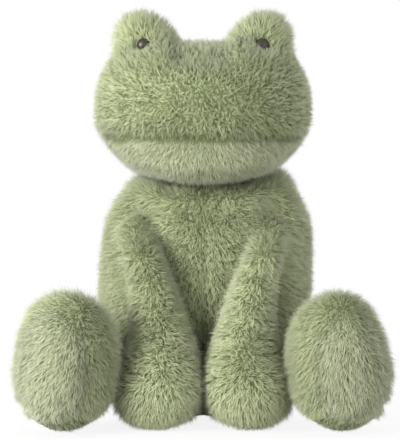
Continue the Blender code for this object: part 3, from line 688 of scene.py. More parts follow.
@dataclass
class SewnBody:
    """One stuffed body of the toy: its cloth, the seams in it and the pile on each of its panels."""

    body: str
    panels: tuple[str, ...] = ()
    fillings: tuple[str, ...] = ()
    pale_panels: tuple[str, ...] = ()
    inset: float = 2.6 * MM
    voxel: float = 4.0 * MM
    swell: float = 2.6 * MM
    most_swell: float = 1.6
    hold: float = 4 * MM
    hold_quick: float = 5 * MM
    least_hold: float = 0.05
    fill: float = 0.75
    cut: PileCut = field(default_factory=PileCut)
    seed: int = 1

    def seams(self, places: np.ndarray) -> np.ndarray:
        """Return each place's distance from the nearest seam of the body."""
        return np.full(len(places), 1.0)

    def shape(self, places: np.ndarray) -> np.ndarray:
        """Return the cloth's places after the body's own dents and folds."""
        return places

    def pelt(self, places: np.ndarray, out: np.ndarray) -> Pelt:
        """Return the pile at places of the cloth with these outward ways."""
        raise NotImplementedError

    def panel_cut(self, panel: str) -> PileCut:
        """Return how one panel's pile is sheared."""
        return self.cut

    def build(self) -> Object:
        """Build the body's closed cloth.

        Returns:
            The cloth, swollen between its seams.
        """
        joined = bmesh.new()
        for node in (*self.panels, *self.fillings):
            joined.from_mesh(frame["nodes"][node].data)
        mesh = bpy.data.meshes.new(self.body + "_cloth")
        joined.to_mesh(mesh)
        joined.free()
        cloth = link_object(self.body + "_cloth", mesh)
        remesh = cloth.modifiers.new("one_skin", "REMESH")
        remesh.mode = "VOXEL"
        remesh.voxel_size = self.voxel
        through_modifiers(cloth)
        self._keep_outer(cloth.data)
        mesh = cloth.data
        places = smoothed(mesh, vertex_places(mesh), 3)
        set_places(mesh, places)
        set_places(mesh, places - vertex_ways(mesh) * (self.inset + self.swell / 2))
        set_places(mesh, smoothed(mesh, vertex_places(mesh), 2))
        self._swell(cloth)
        set_places(cloth.data, self.shape(vertex_places(cloth.data)))
        finer = cloth.modifiers.new("finer", "SUBSURF")
        finer.levels = finer.render_levels = 1
        through_modifiers(cloth)
        cloth.data.shade_smooth()
        return cloth

    @staticmethod
    def _keep_outer(mesh: Mesh) -> None:
        """Drop the small closed pockets that remeshing leaves inside."""
        shape = bmesh.new()
        shape.from_mesh(mesh)
        left = set(shape.verts)
        largest: set = set()
        while left:
            start = left.pop()
            island, edge = {start}, [start]
            while edge:
                for link in edge.pop().link_edges:
                    for vertex in link.verts:
                        if vertex in left:
                            left.discard(vertex)
                            island.add(vertex)
                            edge.append(vertex)
            if len(island) > len(largest):
                largest = island
        bmesh.ops.delete(shape, geom=[v for v in shape.verts if v not in largest], context="VERTS")
        bmesh.ops.recalc_face_normals(shape, faces=shape.faces)
        shape.to_mesh(mesh)
        shape.free()

    def _swell(self, cloth: Object) -> None:
        """Blow the cloth up with its seams held, as stuffing does, and keep the result."""
        start = vertex_places(cloth.data)
        ways = vertex_ways(cloth.data)
        group = cloth.vertex_groups.new(name="seams")
        held = hump(self.seams(start), self.hold)
        for index, weight in enumerate(held):
            if weight > self.least_hold:
                group.add([index], float(weight), "REPLACE")
        blow = cloth.modifiers.new("blow", "CLOTH")
        for name, value in BLOWING.items():
            setattr(blow.settings, name, value)
        blow.settings.effector_weights.gravity = 0
        blow.point_cache.frame_start = 1
        blow.point_cache.frame_end = BLOWN_FRAMES
        scene = bpy.context.scene
        for step in range(1, BLOWN_FRAMES + 1):
            scene.frame_set(step)
        through_modifiers(cloth)
        cloth.vertex_groups.clear()
        moved = vertex_places(cloth.data) - start
        far = np.linalg.norm(moved, axis=1, keepdims=True)
        moved *= np.minimum(1, self.most_swell * self.swell / np.maximum(far, NO_LENGTH))
        moved = smoothed(cloth.data, moved, 2)
        # The stuffing fills the cloth out evenly by as much as the blowing fell short of it.
        rise = float((moved * ways).sum(axis=1).mean())
        log.info("%s: blown out by %.1f mm of %.1f mm", self.body, rise / MM, self.swell / MM)
        evened = ways * ((self.swell - rise) * (1 - held))[:, None]
        set_places(cloth.data, start + moved + evened)
        scene.frame_set(1)

    def _nearest_panel(self, mesh: Mesh) -> np.ndarray:
        """Return for each face of the cloth the number of the CAD panel that it lies under."""
        middles = rows(mesh.polygons, "center")
        return np.argmin([gap_to(panel, middles) for panel in self.panels], axis=0)

    def _patch(self, mesh: Mesh, chosen: np.ndarray, pelt: Pelt, out: np.ndarray) -> Mesh:
        """Copy some faces of the cloth as a mesh that carries the pelt.

        Args:
            mesh: The whole cloth.
            chosen: Which faces to copy.
            pelt: The pile at each vertex of the cloth.
            out: The outward way at each vertex.

        Returns:
            The patch with its attributes.
        """
        faces = [tuple(mesh.polygons[k].vertices) for k in np.flatnonzero(chosen)]
        used = np.unique(np.concatenate([np.array(f) for f in faces]))
        number = np.full(len(mesh.vertices), -1)
        number[used] = np.arange(len(used))
        places = vertex_places(mesh)[used]
        patch = bpy.data.meshes.new("patch")
        patch.from_pydata([tuple(p) for p in places], [], [[int(number[v]) for v in f] for f in faces])
        for name, value in {**vars(pelt), "out": out}.items():
            flat = value.ndim == 1
            made = patch.attributes.new(name, "FLOAT" if flat else "FLOAT_VECTOR", "POINT")
            made.data.foreach_set("value" if flat else "vector", value[used].astype(np.float32).ravel())
        return patch

    def dress(self, tree: PileTree, shaded_dyes: dict[str, Material], backing: Material) -> list[Object]:
        """Build the cloth, give it its backing and grow the pile of each panel.

        Args:
            tree: The tree that grows the pile.
            shaded_dyes: The fibre's material for each of the record's slots.
            backing: The cloth's material.

        Returns:
            All pieces of the body.
        """
        cloth = self.build()
        cloth.data.materials.clear()
        cloth.data.materials.append(backing)
        mesh = cloth.data
        places, out = vertex_places(mesh), vertex_ways(mesh)
        pelt = self.pelt(places, out)
        across = (pelt.nap * out).sum(axis=1, keepdims=True)
        pelt = replace(pelt, nap=unit(pelt.nap - out * across))
        nearest = self._nearest_panel(mesh)
        made = [cloth]
        for number, panel in enumerate(self.panels):
            patch = self._patch(mesh, nearest == number, pelt, out)
            slot = "pale_fur" if panel in self.pale_panels else "sage_fur"
            seed = 100 * self.seed + number
            pile = tree.grow(panel + "_pile", patch, self.panel_cut(panel), shaded_dyes[slot], seed)
            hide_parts(panel)
            made.append(pile)
            log.info("%s: %d faces", pile.name, len(pile.data.polygons))
        if self.fillings:
            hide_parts(*self.fillings)
        for piece in made:
            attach(piece, self.body)
        log.info("%s: %d panels on %d faces of cloth", self.body, len(self.panels), len(mesh.polygons))
        return made


@dataclass
class Torso(SewnBody):
    """The pear-shaped trunk, seamed down its front, back and sides, on a flat seat."""

    body: str = "torso"
    panels: tuple[str, ...] = (
        "torso_front_left",
        "torso_front_right",
        "torso_back_left",
        "torso_back_right",
        "torso_seat",
    )
    fillings: tuple[str, ...] = ("torso_stuffing", "seat_bean_bag")
    seat_rise: float = 8 * MM
    collar: float = 0.172
    shoulder_fill: tuple[float, float] = (5 * MM, 8.5 * MM)
    shoulder_edge: tuple[float, float] = (76 * MM, 62 * MM)
    shoulder_middle: float = 40 * MM
    lean: float = 4.5 * MM
    taper: float = 0.06
    throat: float = 0.186

    def seams(self, places: np.ndarray) -> np.ndarray:
        """Return the distance from the middle seams, the side seams and the seam round the seat."""
        x, y, z = places.T
        return np.minimum(np.abs(x), np.minimum(np.abs(y), np.abs(z - self.seat_rise)))

    def shape(self, places: np.ndarray) -> np.ndarray:
        """Fill the collar up towards the head, and let the top lean a little to the frog's left."""
        x, y, z = places.T
        sloping = fade(z, 0.17, 0.19) * fade(np.abs(x), *self.shoulder_edge)
        fill = np.interp(x, (-self.shoulder_middle, self.shoulder_middle), self.shoulder_fill)
        ways = unit(np.stack([x, 0.3 * y, np.full(len(x), 0.045)], axis=1))
        leaning = self.lean * fade(z, 0.06, 0.18) - self.taper * x * fade(z, 0.165, 0.195)
        return places + ways * (fill * sloping)[:, None] + np.outer(leaning, ACROSS)

    def pelt(self, places: np.ndarray, out: np.ndarray) -> Pelt:
        """Lay the nap down and away from the middle seams, up at the throat, and flat under the seat."""
        x, y, z = places.T
        seam = np.abs(x)
        away = np.tanh(x / (18 * MM)) * np.where(y < 0, 0.75, 0.35)
        throat = fade(z, self.throat, 0.196)
        nap = np.stack([away, -0.4 * throat, 1.6 * throat - 1], axis=1)
        under = fade(out[:, 2], -0.5, -0.9) * fade(z, 16 * MM, 8 * MM)
        collar = fade(z, self.collar, 0.2)
        parting = hump(seam, 3.5 * MM)
        over_arm = hump(z - self.collar, 13 * MM) * hump(seam - 55 * MM, 18 * MM) * fade(y, 5 * MM, -10 * MM)
        length = 1 + 0.35 * over_arm + 0.5 * throat - 0.25 * parting - 0.72 * under
        stand = 0.58 - 0.1 * parting - 0.4 * under + 0.12 * collar + 0.25 * throat
        stand = np.clip(stand + 0.06 * drift(places, 25 * MM, 1), 0.1, 0.95)
        # Painted shade darkens the tone in the parting along the middle seams, at the collar under the head
        # and under the body; slow noise varies it at random.
        tint = 0.5 - 0.12 * parting - 0.12 * collar + 0.12 * drift(places, 30 * MM, 2) - 0.1 * under
        thick = 1 - 0.5 * under
        return Pelt(nap, length, stand, tint, thick)


@dataclass
class Neck(SewnBody):
    """The soft neck, hardly seen, between the torso and the head."""

    body: str = "neck"
    panels: tuple[str, ...] = ("neck_plug",)
    inset: float = 1.5 * MM
    cut: PileCut = field(default_factory=lambda: PileCut(length=12 * MM, strands_per_cm2=48))

    def pelt(self, places: np.ndarray, out: np.ndarray) -> Pelt:
        """Stand a thin and long pile out all round, to fill the gap under the head."""
        count = len(places)
        nap = np.tile((0.0, 0.0, -1.0), (count, 1))
        even = np.ones(count)
        return Pelt(nap, even, even * 0.75, even * 0.5, even)


@dataclass
class Head(SewnBody):
    """The wide head with its muzzle, the mouth seam across it and the two eye mounds on top."""

    body: str = "head"
    panels: tuple[str, ...] = (
        "head_face_panel",
        "jaw_panel",
        "head_back_panel",
        "left_eye_mound",
        "right_eye_mound",
    )
    fillings: tuple[str, ...] = (
        "head_stuffing",
        "left_mound_stuffing",
        "right_mound_stuffing",
    )
    pale_panels: tuple[str, ...] = ("jaw_panel",)
    mouth_depth: float = 3.4 * MM
    mouth_width: float = 2.6 * MM
    whorl_height: float = 0.262
    mound_foot: float = 0.3
    chin_fill: float = 4.5 * MM
    mouth_height: float = 0.234
    cheek_fill: float = 5 * MM
    crown_dip: float = 8 * MM
    side_heights: tuple[float, ...] = (0.2, 0.208, 0.22, 0.232, 0.255, 0.27, 0.284, 0.298, 0.311)
    side_widths: tuple[float, ...] = (0.05, 0.0585, 0.0725, 0.086, 0.1, 0.086, 0.079, 0.074, 0.07)
    side_soft: float = 2 * MM
    eye_clearing: float = 9.8 * MM
    eye_lowered_right: float = 3.5 * MM
    eye_lowered_left: float = 2 * MM

    def mouth_line(self, places: np.ndarray) -> np.ndarray:
        """Return each place's height over the mouth seam, where the face meets the jaw."""
        return gap_to("jaw_panel", places) - gap_to("head_face_panel", places)

    def seams(self, places: np.ndarray) -> np.ndarray:
        """Return the distance from the mouth seam and from the seam over the crown and down the sides."""
        mouth = np.where(places[:, 1] < 0, np.abs(self.mouth_line(places)), 1.0)
        crown = np.where(places[:, 2] < self.mound_foot, np.abs(places[:, 1]), 1.0)
        return np.minimum(mouth + 2 * MM, crown)

    def shape(self, places: np.ndarray) -> np.ndarray:
        """Draw in the mouth seam, dip the crown between the mounds and round the cheeks and the chin."""
        x, y, z = places.T
        front = fade(y, 0.0, -25 * MM)
        drawn = hump(self.mouth_line(places), self.mouth_width) * front * self.mouth_depth
        ways = unit(places * (1.0, 1.0, 0.0))
        chin = fade(z, 0.225, 0.203) * fade(y, 20 * MM, -20 * MM) * hump(x, 62 * MM)
        down = np.array((0.0, -0.15, -1.0)) * self.chin_fill
        cheek = self.cheek_fill * hump(z - self.mouth_height, 15 * MM) * fade(np.abs(x), 45 * MM, 72 * MM)
        limit = np.interp(z, self.side_heights, self.side_widths)
        beyond = self.side_soft * np.logaddexp(0, (np.abs(x) + cheek - limit) / self.side_soft)
        crown = self.crown_dip * fade(np.abs(x), 31 * MM, 19 * MM) * fade(z, 0.275, 0.3)
        dipped = places - np.outer(crown, UP)
        wider = np.outer(np.sign(x) * (cheek - beyond), ACROSS)
        return dipped - ways * drawn[:, None] + down * chin[:, None] + wider

    def _over_mounds(self, places: np.ndarray, nap: np.ndarray) -> tuple[np.ndarray, ...]:
        """Fan the nap out over both mounds and clear it round the eyes.

        Args:
            places: Places of the cloth.
            nap: The nap there before the mounds turn it.

        Returns:
            The nap, how much each place is mound, and how bare it is round an eye.
        """
        mound = np.zeros(len(places))
        bare = np.zeros(len(places))
        for side in Side:
            middle = middle_of(side.label + "_eye_mound") - (0.0, 0.0, 3 * MM)
            # The pile over the frog's right eye hangs lower and hides the top of it.
            lowered = self.eye_lowered_right if side is Side.RIGHT else self.eye_lowered_left
            eye = middle_of(side.label + "_safety_eye") - (0.0, 7 * MM, lowered)
            far = np.linalg.norm((places - eye) * (1.0, 0.6, 1.0), axis=1)
            bare = np.maximum(bare, fade(far, self.eye_clearing, 0.6 * self.eye_clearing))
            near = fade(np.linalg.norm(places - middle, axis=1), 42 * MM, 26 * MM)
            near = near * fade(places[:, 2], self.mound_foot, self.mound_foot + 12 * MM)
            outward = unit(places - middle) * (1.0, 0.5, 0.7) + np.array((side.value * 0.15, 0.0, 0.5))
            nap = nap * (1 - near[:, None]) + outward * near[:, None]
            mound = np.maximum(mound, near)
        return nap, mound, bare

    def pelt(self, places: np.ndarray, out: np.ndarray) -> Pelt:
        """Turn the nap out of a whorl on the muzzle: up over the brow, down over the lip and the chin."""
        x, y, z = places.T
        mouth = self.mouth_line(places)
        front = fade(y, 5 * MM, -30 * MM)
        chin = fade(mouth, 1.5 * MM, -1.5 * MM) * fade(y, 12 * MM, -5 * MM)
        rise = np.tanh((z - self.whorl_height) / (20 * MM))
        rise = rise * front - (1 - front) * np.where(z > self.mound_foot, -0.6, 1.0)
        rise = rise * (1 - chin) - chin
        away = np.clip(x / (60 * MM), -1, 1) * 0.8
        back = np.where(z > self.mound_foot, 0.35, 0.0)
        nap, mound, bare = self._over_mounds(places, np.stack([away, back, rise], axis=1))
        muzzle = front * hump(z - self.whorl_height, 30 * MM) * hump(x - 15 * MM, 75 * MM) * (1 - chin)
        lip = hump(mouth, 1.5 * MM) * front
        # On the frog's left the tufts of the upper lip hang over the seam and hide it.
        over_lip = hump(mouth - 4.5 * MM, 4.5 * MM) * front
        fringe = over_lip * fade(x, 5 * MM, 30 * MM)
        length = 0.95 - 0.3 * muzzle - 0.15 * chin - 0.4 * lip
        length = length + 0.12 * mound + 0.35 * fringe - 0.08 * over_lip
        stand = 0.66 + 0.2 * muzzle - 0.36 * chin + 0.06 * drift(places, 20 * MM, 3) + 0.08 * mound
        brow = front * fade(z, 0.272, 0.285) * (1 - mound)
        # The tone is darker on the muzzle and at the brow and paler on the mounds. Painted shade darkens it
        # hard in the mouth seam's crease, and under the chin where the cloth faces down; slow noise varies it
        # at random.
        tint = 0.54 - 0.16 * muzzle - 0.9 * lip - 0.1 * brow + 0.06 * mound
        hanging = fade(out[:, 2], -0.35, -0.8) * fade(z, 0.24, 0.22)
        tint = tint + 0.12 * drift(places, 28 * MM, 4) - 0.12 * hanging
        stand = np.clip(stand + 0.3 * hanging, 0.1, 0.9)
        # The fibres caught in the mouth seam are few, so the backing's painted shade shows as a thin dark
        # line.
        caught = hump(mouth, 1.3 * MM) * front * fade(x, 60 * MM, 20 * MM)
        return Pelt(nap, length * (1 - 0.6 * bare), stand, tint, 1 - 0.3 * hanging - 0.5 * caught)

    def panel_cut(self, panel: str) -> PileCut:
        """Cut the face shorter and curlier and the chin finer and denser, and leave the rest long."""
        if panel == "head_face_panel":
            return PileCut(length=8.8 * MM, width=0.52 * MM, tufts_per_cm2=34.0, clump=0.7, scatter=1.0)
        if panel == "jaw_panel":
            return PileCut(width=0.46 * MM, strands_per_cm2=140.0, tufts_per_cm2=30.0, clump=0.3, scatter=0.5)
        return self.cut


@dataclass
class Limb(SewnBody):
    """What arms, legs and feet share: the side they are on and how their pieces are named."""

    body: str = ""
    side: Side = Side.LEFT
    kind: str = ""
    sheets: tuple[str, str] = ("", "")

    def __post_init__(self) -> None:
        """Name the limb's body, panels and filling after its side."""
        self.body = f"{self.side.label}_{self.kind}"
        self.panels = tuple(f"{self.body}_{sheet}" for sheet in self.sheets)
        self.fillings = (self.body + "_stuffing",)


@dataclass
class Arm(Limb):
    """One club-shaped arm that hangs down the belly and ends in the hand."""

    kind: str = "arm"
    sheets: tuple[str, str] = ("front_panel", "back_panel")
    inset: float = 2.0 * MM
    centre_top: tuple[float, float] = (0.056, 0.168)
    centre_hand: tuple[float, float] = (0.032, 0.033)
    top_in: float = 5 * MM
    top_back: float = 15 * MM
    top_down: float = 17 * MM
    hand_splay: float = 0.2
    hand_out: float = 3 * MM
    hand_forward: float = 6 * MM
    hand_down: float = 2 * MM

    def seams(self, places: np.ndarray) -> np.ndarray:
        """Return the distance from the two side seams, where the cloth's front and back meet."""
        front, back = (gap_to(panel, places) for panel in self.panels)
        return np.abs(front - back)

    def shape(self, places: np.ndarray) -> np.ndarray:
        """Sink the arm's top back and inwards into the shoulder, and splay the hand outwards."""
        x, _, z = places.T
        outwards = self.side.value
        top = fade(z, 0.13, 0.18)
        hand = fade(z, 0.065, 0.03)
        across = (x - outwards * self.centre_hand[0]) * self.hand_splay * hand
        across = across + outwards * self.hand_out * hand - outwards * self.top_in * top
        back = self.top_back * top - self.hand_forward * hand
        down = self.top_down * top + self.hand_down * hand
        return places + np.stack([across, back, -down], axis=1)

    def pelt(self, places: np.ndarray, out: np.ndarray) -> Pelt:
        """Lay the nap down the arm and outwards from its middle line, and straighter over the hand."""
        x, _, z = places.T
        share = np.clip((self.centre_top[1] - z) / (self.centre_top[1] - self.centre_hand[1]), 0, 1)
        inwards = (self.centre_hand[0] - self.centre_top[0]) * fade(share, 0, 0.9)
        middle = self.side.value * (self.centre_top[0] + inwards)
        hand = fade(z, 0.05, 0.02)
        away = np.clip((x - middle) / (22 * MM), -1, 1) * (0.75 - 0.4 * hand)
        nap = np.stack([away, np.zeros(len(x)), -np.ones(len(x))], axis=1)
        under = fade(out[:, 2], -0.6, -0.95)
        sunk = fade(z, 0.15, 0.16)
        length = 1 - 0.6 * under - 0.25 * sunk + 0.05 * drift(places, 20 * MM, 5)
        stand = 0.58 - 0.08 * hand - 0.36 * under + 0.08 * drift(places, 22 * MM, 6)
        # Painted light and shade: the top of the frog's left arm is painted paler and its hand darker, and
        # the right hand paler, where light falls on them differently; painted shade darkens the underside.
        paler = (0.2 + 0.16 * self.side.value) * fade(z, 0.155, 0.12)
        paler = paler - (0.2 * self.side.value - 0.04) * fade(z, 0.1, 0.055)
        tint = 0.5 + paler + 0.12 * drift(places, 26 * MM, 7) - 0.1 * under
        return Pelt(nap, length, stand, tint, 1 - 0.4 * under)


@dataclass
class Leg(Limb):
    """One short leg behind the foot."""

    kind: str = "leg"
    sheets: tuple[str, str] = ("top_panel", "bottom_panel")
    cut: PileCut = field(default_factory=lambda: PileCut(length=10 * MM, strands_per_cm2=90))

    def pelt(self, places: np.ndarray, out: np.ndarray) -> Pelt:
        """Lay the nap forward along the leg and down its sides."""
        count = len(places)
        nap = np.tile((0.3 * self.side.value, -0.9, -0.5), (count, 1))
        even = np.ones(count)
        under = fade(out[:, 2], -0.4, -0.9)
        return Pelt(nap, even * 0.9 - 0.4 * under, even * 0.4, 0.42 + 0.1 * drift(places, 25 * MM, 8), even)


@dataclass
class Foot(Limb):
    """One big ball-shaped foot with a sole sewn into its front."""

    kind: str = "foot"
    sheets: tuple[str, str] = ("upper", "sole")
    splay: float = math.radians(18)
    sole_seam: float = 26 * MM
    spread_heights: tuple[float, ...] = (0.01, 0.04, 0.06, 0.08, 0.1)
    spread_shares: tuple[float, ...] = (0.1, 0.0, 0.0, 0.1, 0.2)
    lean_heights: tuple[float, ...] = (0.045, 0.06, 0.078, 0.1)
    lean_shifts: tuple[float, ...] = (0.0, 3 * MM, 7 * MM, 9 * MM)
    lean_share_right: float = 0.5
    inner_lean: float = 0.05
    crown_rise: float = 3.5 * MM
    cut: PileCut = field(default_factory=lambda: PileCut(clump=0.3, tufts_per_cm2=24.0))

    def __post_init__(self) -> None:
        """Name the foot's pieces, and give the sole the paler fur."""
        super().__post_init__()
        self.pale_panels = self.panels[1:]

    def forward(self) -> np.ndarray:
        """Return the way that the sole faces."""
        return np.array((self.side.value * math.sin(self.splay), -math.cos(self.splay), 0.0))

    def reach(self, places: np.ndarray) -> np.ndarray:
        """Return how far forward each place is from the foot's middle."""
        return (places - middle_of(*self.panels)) @ self.forward()

    def seams(self, places: np.ndarray) -> np.ndarray:
        """Return the distance from the seam round the sole."""
        return np.abs(self.reach(places) - self.sole_seam)

    def shape(self, places: np.ndarray) -> np.ndarray:
        """Spread the foot below and on top, lean its outer side inwards and lift its crown."""
        beside = np.array((self.forward()[1], -self.forward()[0], 0.0))
        across = (places - middle_of(*self.panels)) @ beside
        height = places[:, 2]
        wider = np.interp(height, self.spread_heights, self.spread_shares)
        outer = fade(-self.side.value * across, -10 * MM, 20 * MM)
        share = 1.0 if self.side is Side.LEFT else self.lean_share_right
        leaning = self.inner_lean + (1 - self.inner_lean) * outer
        lean = np.interp(height, self.lean_heights, self.lean_shifts) * leaning * share
        lift = np.outer(self.crown_rise * fade(height, 0.06, 0.1), UP)
        return places + np.outer(across * wider + self.side.value * lean, beside) + lift

    def pelt(self, places: np.ndarray, out: np.ndarray) -> Pelt:
        """Lay the nap down over the sole, and back and down over the upper."""
        reach = self.reach(places)
        sole = fade(reach, self.sole_seam - 2 * MM, self.sole_seam + 2 * MM)
        seam = hump(reach - self.sole_seam, 3 * MM)
        down = np.array((0.0, 0.0, -1.0)) if self.side is Side.LEFT else np.array((-0.5, 0.0, -0.85))
        radial = places - middle_of(*self.panels)
        radial = unit(radial - np.outer(radial @ self.forward(), self.forward()))
        upper = radial * 0.1 - self.forward() * 0.15 + down * 0.9
        nap = upper * (1 - sole[:, None]) + down * sole[:, None]
        under = fade(out[:, 2], -0.3, -0.8)
        nap = nap * (1 - under[:, None]) - self.forward() * under[:, None]
        skirt = sole * fade(places[:, 2], 0.035, 0.015)
        length = 1 - 0.3 * seam - 0.55 * under * (1 - sole) - 0.08 * sole + 0.25 * skirt
        stand = 0.5 - 0.08 * sole + 0.08 * seam - 0.36 * under + 0.08 * drift(places, 22 * MM, 9)
        # Painted light makes the frog's right foot paler than its left, and painted shade darkens the parting
        # at the sole seam; slow noise varies the tone at random.
        tint = 0.57 - 0.07 * self.side.value - 0.12 * seam + 0.12 * drift(places, 28 * MM, 10)
        return Pelt(nap, length, stand, tint, 1 - 0.4 * under)


@dataclass
class SafetyEye:
    """One moulded eye: a low dome with a thin rim, pressed into the fur with its shank inside."""

    side: Side
    sides: int = 40
    rings: int = 10
    radius: float = 6.1 * MM
    dome: float = 4.3 * MM
    rim: float = 1.2 * MM
    sink: float = 7.0 * MM
    shank: float = 2.0 * MM
    sharp_from: float = math.radians(40)

    def build(self) -> Object:
        """Build the eye as one turned and closed form, facing forward.

        Returns:
            The eye's piece.
        """
        name = self.side.label + "_safety_eye"
        low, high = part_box(name)
        apex = np.array(((low[0] + high[0]) / 2, low[1], (low[2] + high[2]) / 2))
        angles = np.linspace(0, math.pi / 2, self.rings)
        profile = [(self.dome * (1 - math.cos(a)), self.radius * math.sin(a)) for a in angles]
        edge = self.dome + self.rim
        profile += [(edge - 0.3 * MM, self.radius), (edge, self.radius * 0.96)]
        profile += [(edge, self.shank), (edge + self.sink, self.shank)]
        turn = np.linspace(0, 2 * math.pi, self.sides, endpoint=False)
        shape = bmesh.new()
        loops = []
        for depth, reach in profile[1:]:
            spots = [apex + (reach * math.cos(t), depth, reach * math.sin(t)) for t in turn]
            loops.append([shape.verts.new(s) for s in spots])
        tip = shape.verts.new(apex)
        count = self.sides
        for k in range(count):
            shape.faces.new((tip, loops[0][k], loops[0][(k + 1) % count]))
        for first, second in zip(loops, loops[1:]):
            for k in range(count):
                after = (k + 1) % count
                shape.faces.new((first[k], second[k], second[after], first[after]))
        shape.faces.new(loops[-1])
        bmesh.ops.recalc_face_normals(shape, faces=shape.faces)
        mesh = bpy.data.meshes.new(name + "_dome")
        shape.to_mesh(mesh)
        shape.free()
        mesh.shade_smooth()
        mesh.set_sharp_from_angle(angle=self.sharp_from)
        return link_object(name + "_dome", mesh)

    def dress(self, plastic: Material) -> Object:
        """Build the eye, polish it and hang it on the head."""
        eye = self.build()
        eye.data.materials.append(plastic)
        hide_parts(self.side.label + "_safety_eye")
        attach(eye, "head")
        log.info("%s: %d faces", eye.name, len(eye.data.polygons))
        return eye


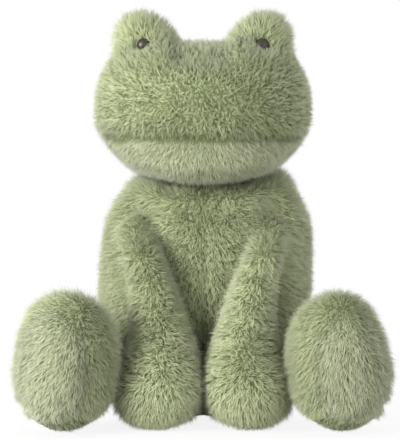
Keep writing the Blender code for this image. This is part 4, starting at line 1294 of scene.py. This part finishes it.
@dataclass
class Studio:
    """The plain pale floor, the soft studio light and the camera."""

    camera_back: float = 1.7
    camera_height: float = 0.19
    focal_px: float = 2050.0
    picture_px: tuple[int, int] = (400, 439)
    aim_px: tuple[float, float] = (203.0, 186.0)
    sensor_mm: float = 36.0
    floor_half: float = 6.0
    shadow_reach: float = 0.16
    shadow_white: float = 0.88
    room_strength: float = 0.56
    chest_height: float = 0.17

    def build(self) -> None:
        """Build the floor, the lamps, the world and the camera."""
        self._floor()
        self._lamp("key_softbox", (-1.6, -1.6, 0.75), 0.9, 80.0)
        self._lamp("fill_softbox", (1.3, -1.7, 0.4), 1.4, 16.0)
        self._lamp("top_softbox", (-0.3, 0.4, 1.9), 1.2, 6.0)
        self._lamp("side_softbox", (1.8, 0.7, 0.8), 1.2, 15.0)
        self._lamp("back_softbox", (-0.6, 1.9, 0.9), 1.2, 14.0)
        self._world()
        self._camera()
        bpy.context.scene.view_settings.view_transform = "Standard"

    def _white_share(self, tree: NodeTree) -> Node:
        """Return 1 for what the camera sees straight or in a gloss, and 0 for light on the object."""
        path = add_node(tree, "ShaderNodeLightPath").outputs
        larger = {"operation": "MAXIMUM"}
        seen = add_node(tree, "ShaderNodeMath", larger, {0: path["Is Camera Ray"], 1: path["Is Glossy Ray"]})
        return add_node(tree, "ShaderNodeMath", larger, {0: seen, 1: path["Is Transmission Ray"]})

    def _floor(self) -> None:
        """Lay the floor, white to the camera apart from the object's soft shadow."""
        mesh = bpy.data.meshes.new("studio_floor")
        half = self.floor_half
        rim = [(-half, -half, 0), (half, -half, 0), (half, half, 0), (-half, half, 0)]
        mesh.from_pydata(rim, [], [tuple(range(len(rim)))])
        floor = link_object("studio_floor", mesh)
        made, tree, shader = surface("matt_white_paper", Base_Color=linear("#e6e6e4"), Roughness=0.9)
        glow = add_node(tree, "ShaderNodeEmission", inputs={"Color": (1, 1, 1, 1), "Strength": 1.0})
        place = add_node(tree, "ShaderNodeTexCoord").outputs["Object"]
        far = add_node(tree, "ShaderNodeVectorMath", {"operation": "LENGTH"}, {0: place}).outputs["Value"]
        fading = {"From Min": self.shadow_reach, "From Max": 2 * self.shadow_reach}
        fading |= {"To Min": self.shadow_white, "To Max": 1.0}
        soft = {"interpolation_type": "SMOOTHSTEP"}
        plain = add_node(tree, "ShaderNodeMapRange", soft, {"Value": far, **fading}).outputs["Result"]
        times = {"operation": "MULTIPLY"}
        share = add_node(tree, "ShaderNodeMath", times, {0: self._white_share(tree), 1: plain})
        mixed = add_node(tree, "ShaderNodeMixShader", inputs={0: share, 1: shader, 2: glow})
        feed(tree.nodes["Material Output"], {"Surface": mixed})
        mesh.materials.append(made)
        floor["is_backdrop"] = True

    def _lamp(self, name: str, place: tuple[float, float, float], size: float, watts: float) -> None:
        """Hang a square softbox that faces the toy's chest."""
        light = bpy.data.lights.new(name, "AREA")
        light.shape = "SQUARE"
        light.size = size
        light.energy = watts
        lamp = link_object(name, light)
        lamp.location = place
        towards = Vector((0, 0, self.chest_height)) - Vector(place)
        lamp.rotation_euler = towards.to_track_quat("-Z", "Y").to_euler()

    def _world(self) -> None:
        """Light the room evenly, and show it white to the camera."""
        world = bpy.data.worlds.new("studio")
        world.use_nodes = True
        tree = world.node_tree
        room = tree.nodes["Background"]
        feed(room, {"Color": linear("#fbfcff"), "Strength": self.room_strength})
        white = add_node(tree, "ShaderNodeBackground", inputs={"Color": (1, 1, 1, 1), "Strength": 1.0})
        mixed = add_node(tree, "ShaderNodeMixShader", inputs={0: self._white_share(tree), 1: room, 2: white})
        feed(tree.nodes["World Output"], {"Surface": mixed})
        bpy.context.scene.world = world

    def _camera(self) -> None:
        """Stand the camera level in front of the toy, framed as the photograph is."""
        data = bpy.data.cameras.new("camera")
        longest = max(self.picture_px)
        data.sensor_width = self.sensor_mm
        data.lens = self.focal_px * self.sensor_mm / longest
        data.shift_x = (self.picture_px[0] / 2 - self.aim_px[0]) / longest
        data.shift_y = (self.aim_px[1] - self.picture_px[1] / 2) / longest
        camera = link_object("camera", data)
        camera.location = (0, -self.camera_back, self.camera_height)
        camera.rotation_euler = (math.pi / 2, 0, 0)
        bpy.context.scene.camera = camera


def corners(box: Iterable[Vector]) -> list[list[float]]:
    """Return a box's two corners as plain lists."""
    return [list(map(float, corner)) for corner in box]


def main() -> None:
    """Build and dress the whole toy, then set up the studio."""
    logging.basicConfig(level=logging.INFO, format="%(name)s: %(message)s")
    cad_box = corners(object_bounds())
    tree = PileTree()
    shaded_dyes = {
        "sage_fur": PileDye("sage_acrylic_pile").material(),
        "pale_fur": PileDye("pale_acrylic_pile", middle="#cbd0b5", tip="#e8e9d8").material(),
    }
    backing = KnitBacking().material()
    plastic = EyePlastic().material()
    bodies: list[SewnBody] = [Torso(seed=1), Neck(seed=2), Head(seed=3)]
    for step, side in enumerate(Side):
        bodies.append(Arm(side=side, seed=4 + step))
        bodies.append(Leg(side=side, seed=6 + step))
        bodies.append(Foot(side=side, seed=8 + step))
    for body in bodies:
        body.dress(tree, shaded_dyes, backing)
    white = WasherPlastic().material()
    for side in Side:
        SafetyEye(side).dress(plastic)
        washer = frame["nodes"][side.label + "_eye_washer"]
        washer.data.materials.clear()
        washer.data.materials.append(white)
    Studio().build()
    faces = sum(len(made.data.polygons) for made in bpy.data.objects if made.type == "MESH")
    log.info("%d faces in all", faces)
    sizes = {"cad": cad_box, "dressed": corners(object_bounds())}
    for name, (low, high) in sizes.items():
        log.info("%s box: %s mm", name, [round((b - a) / MM, 1) for a, b in zip(low, high)])


if __name__ == "__main__":
    main()
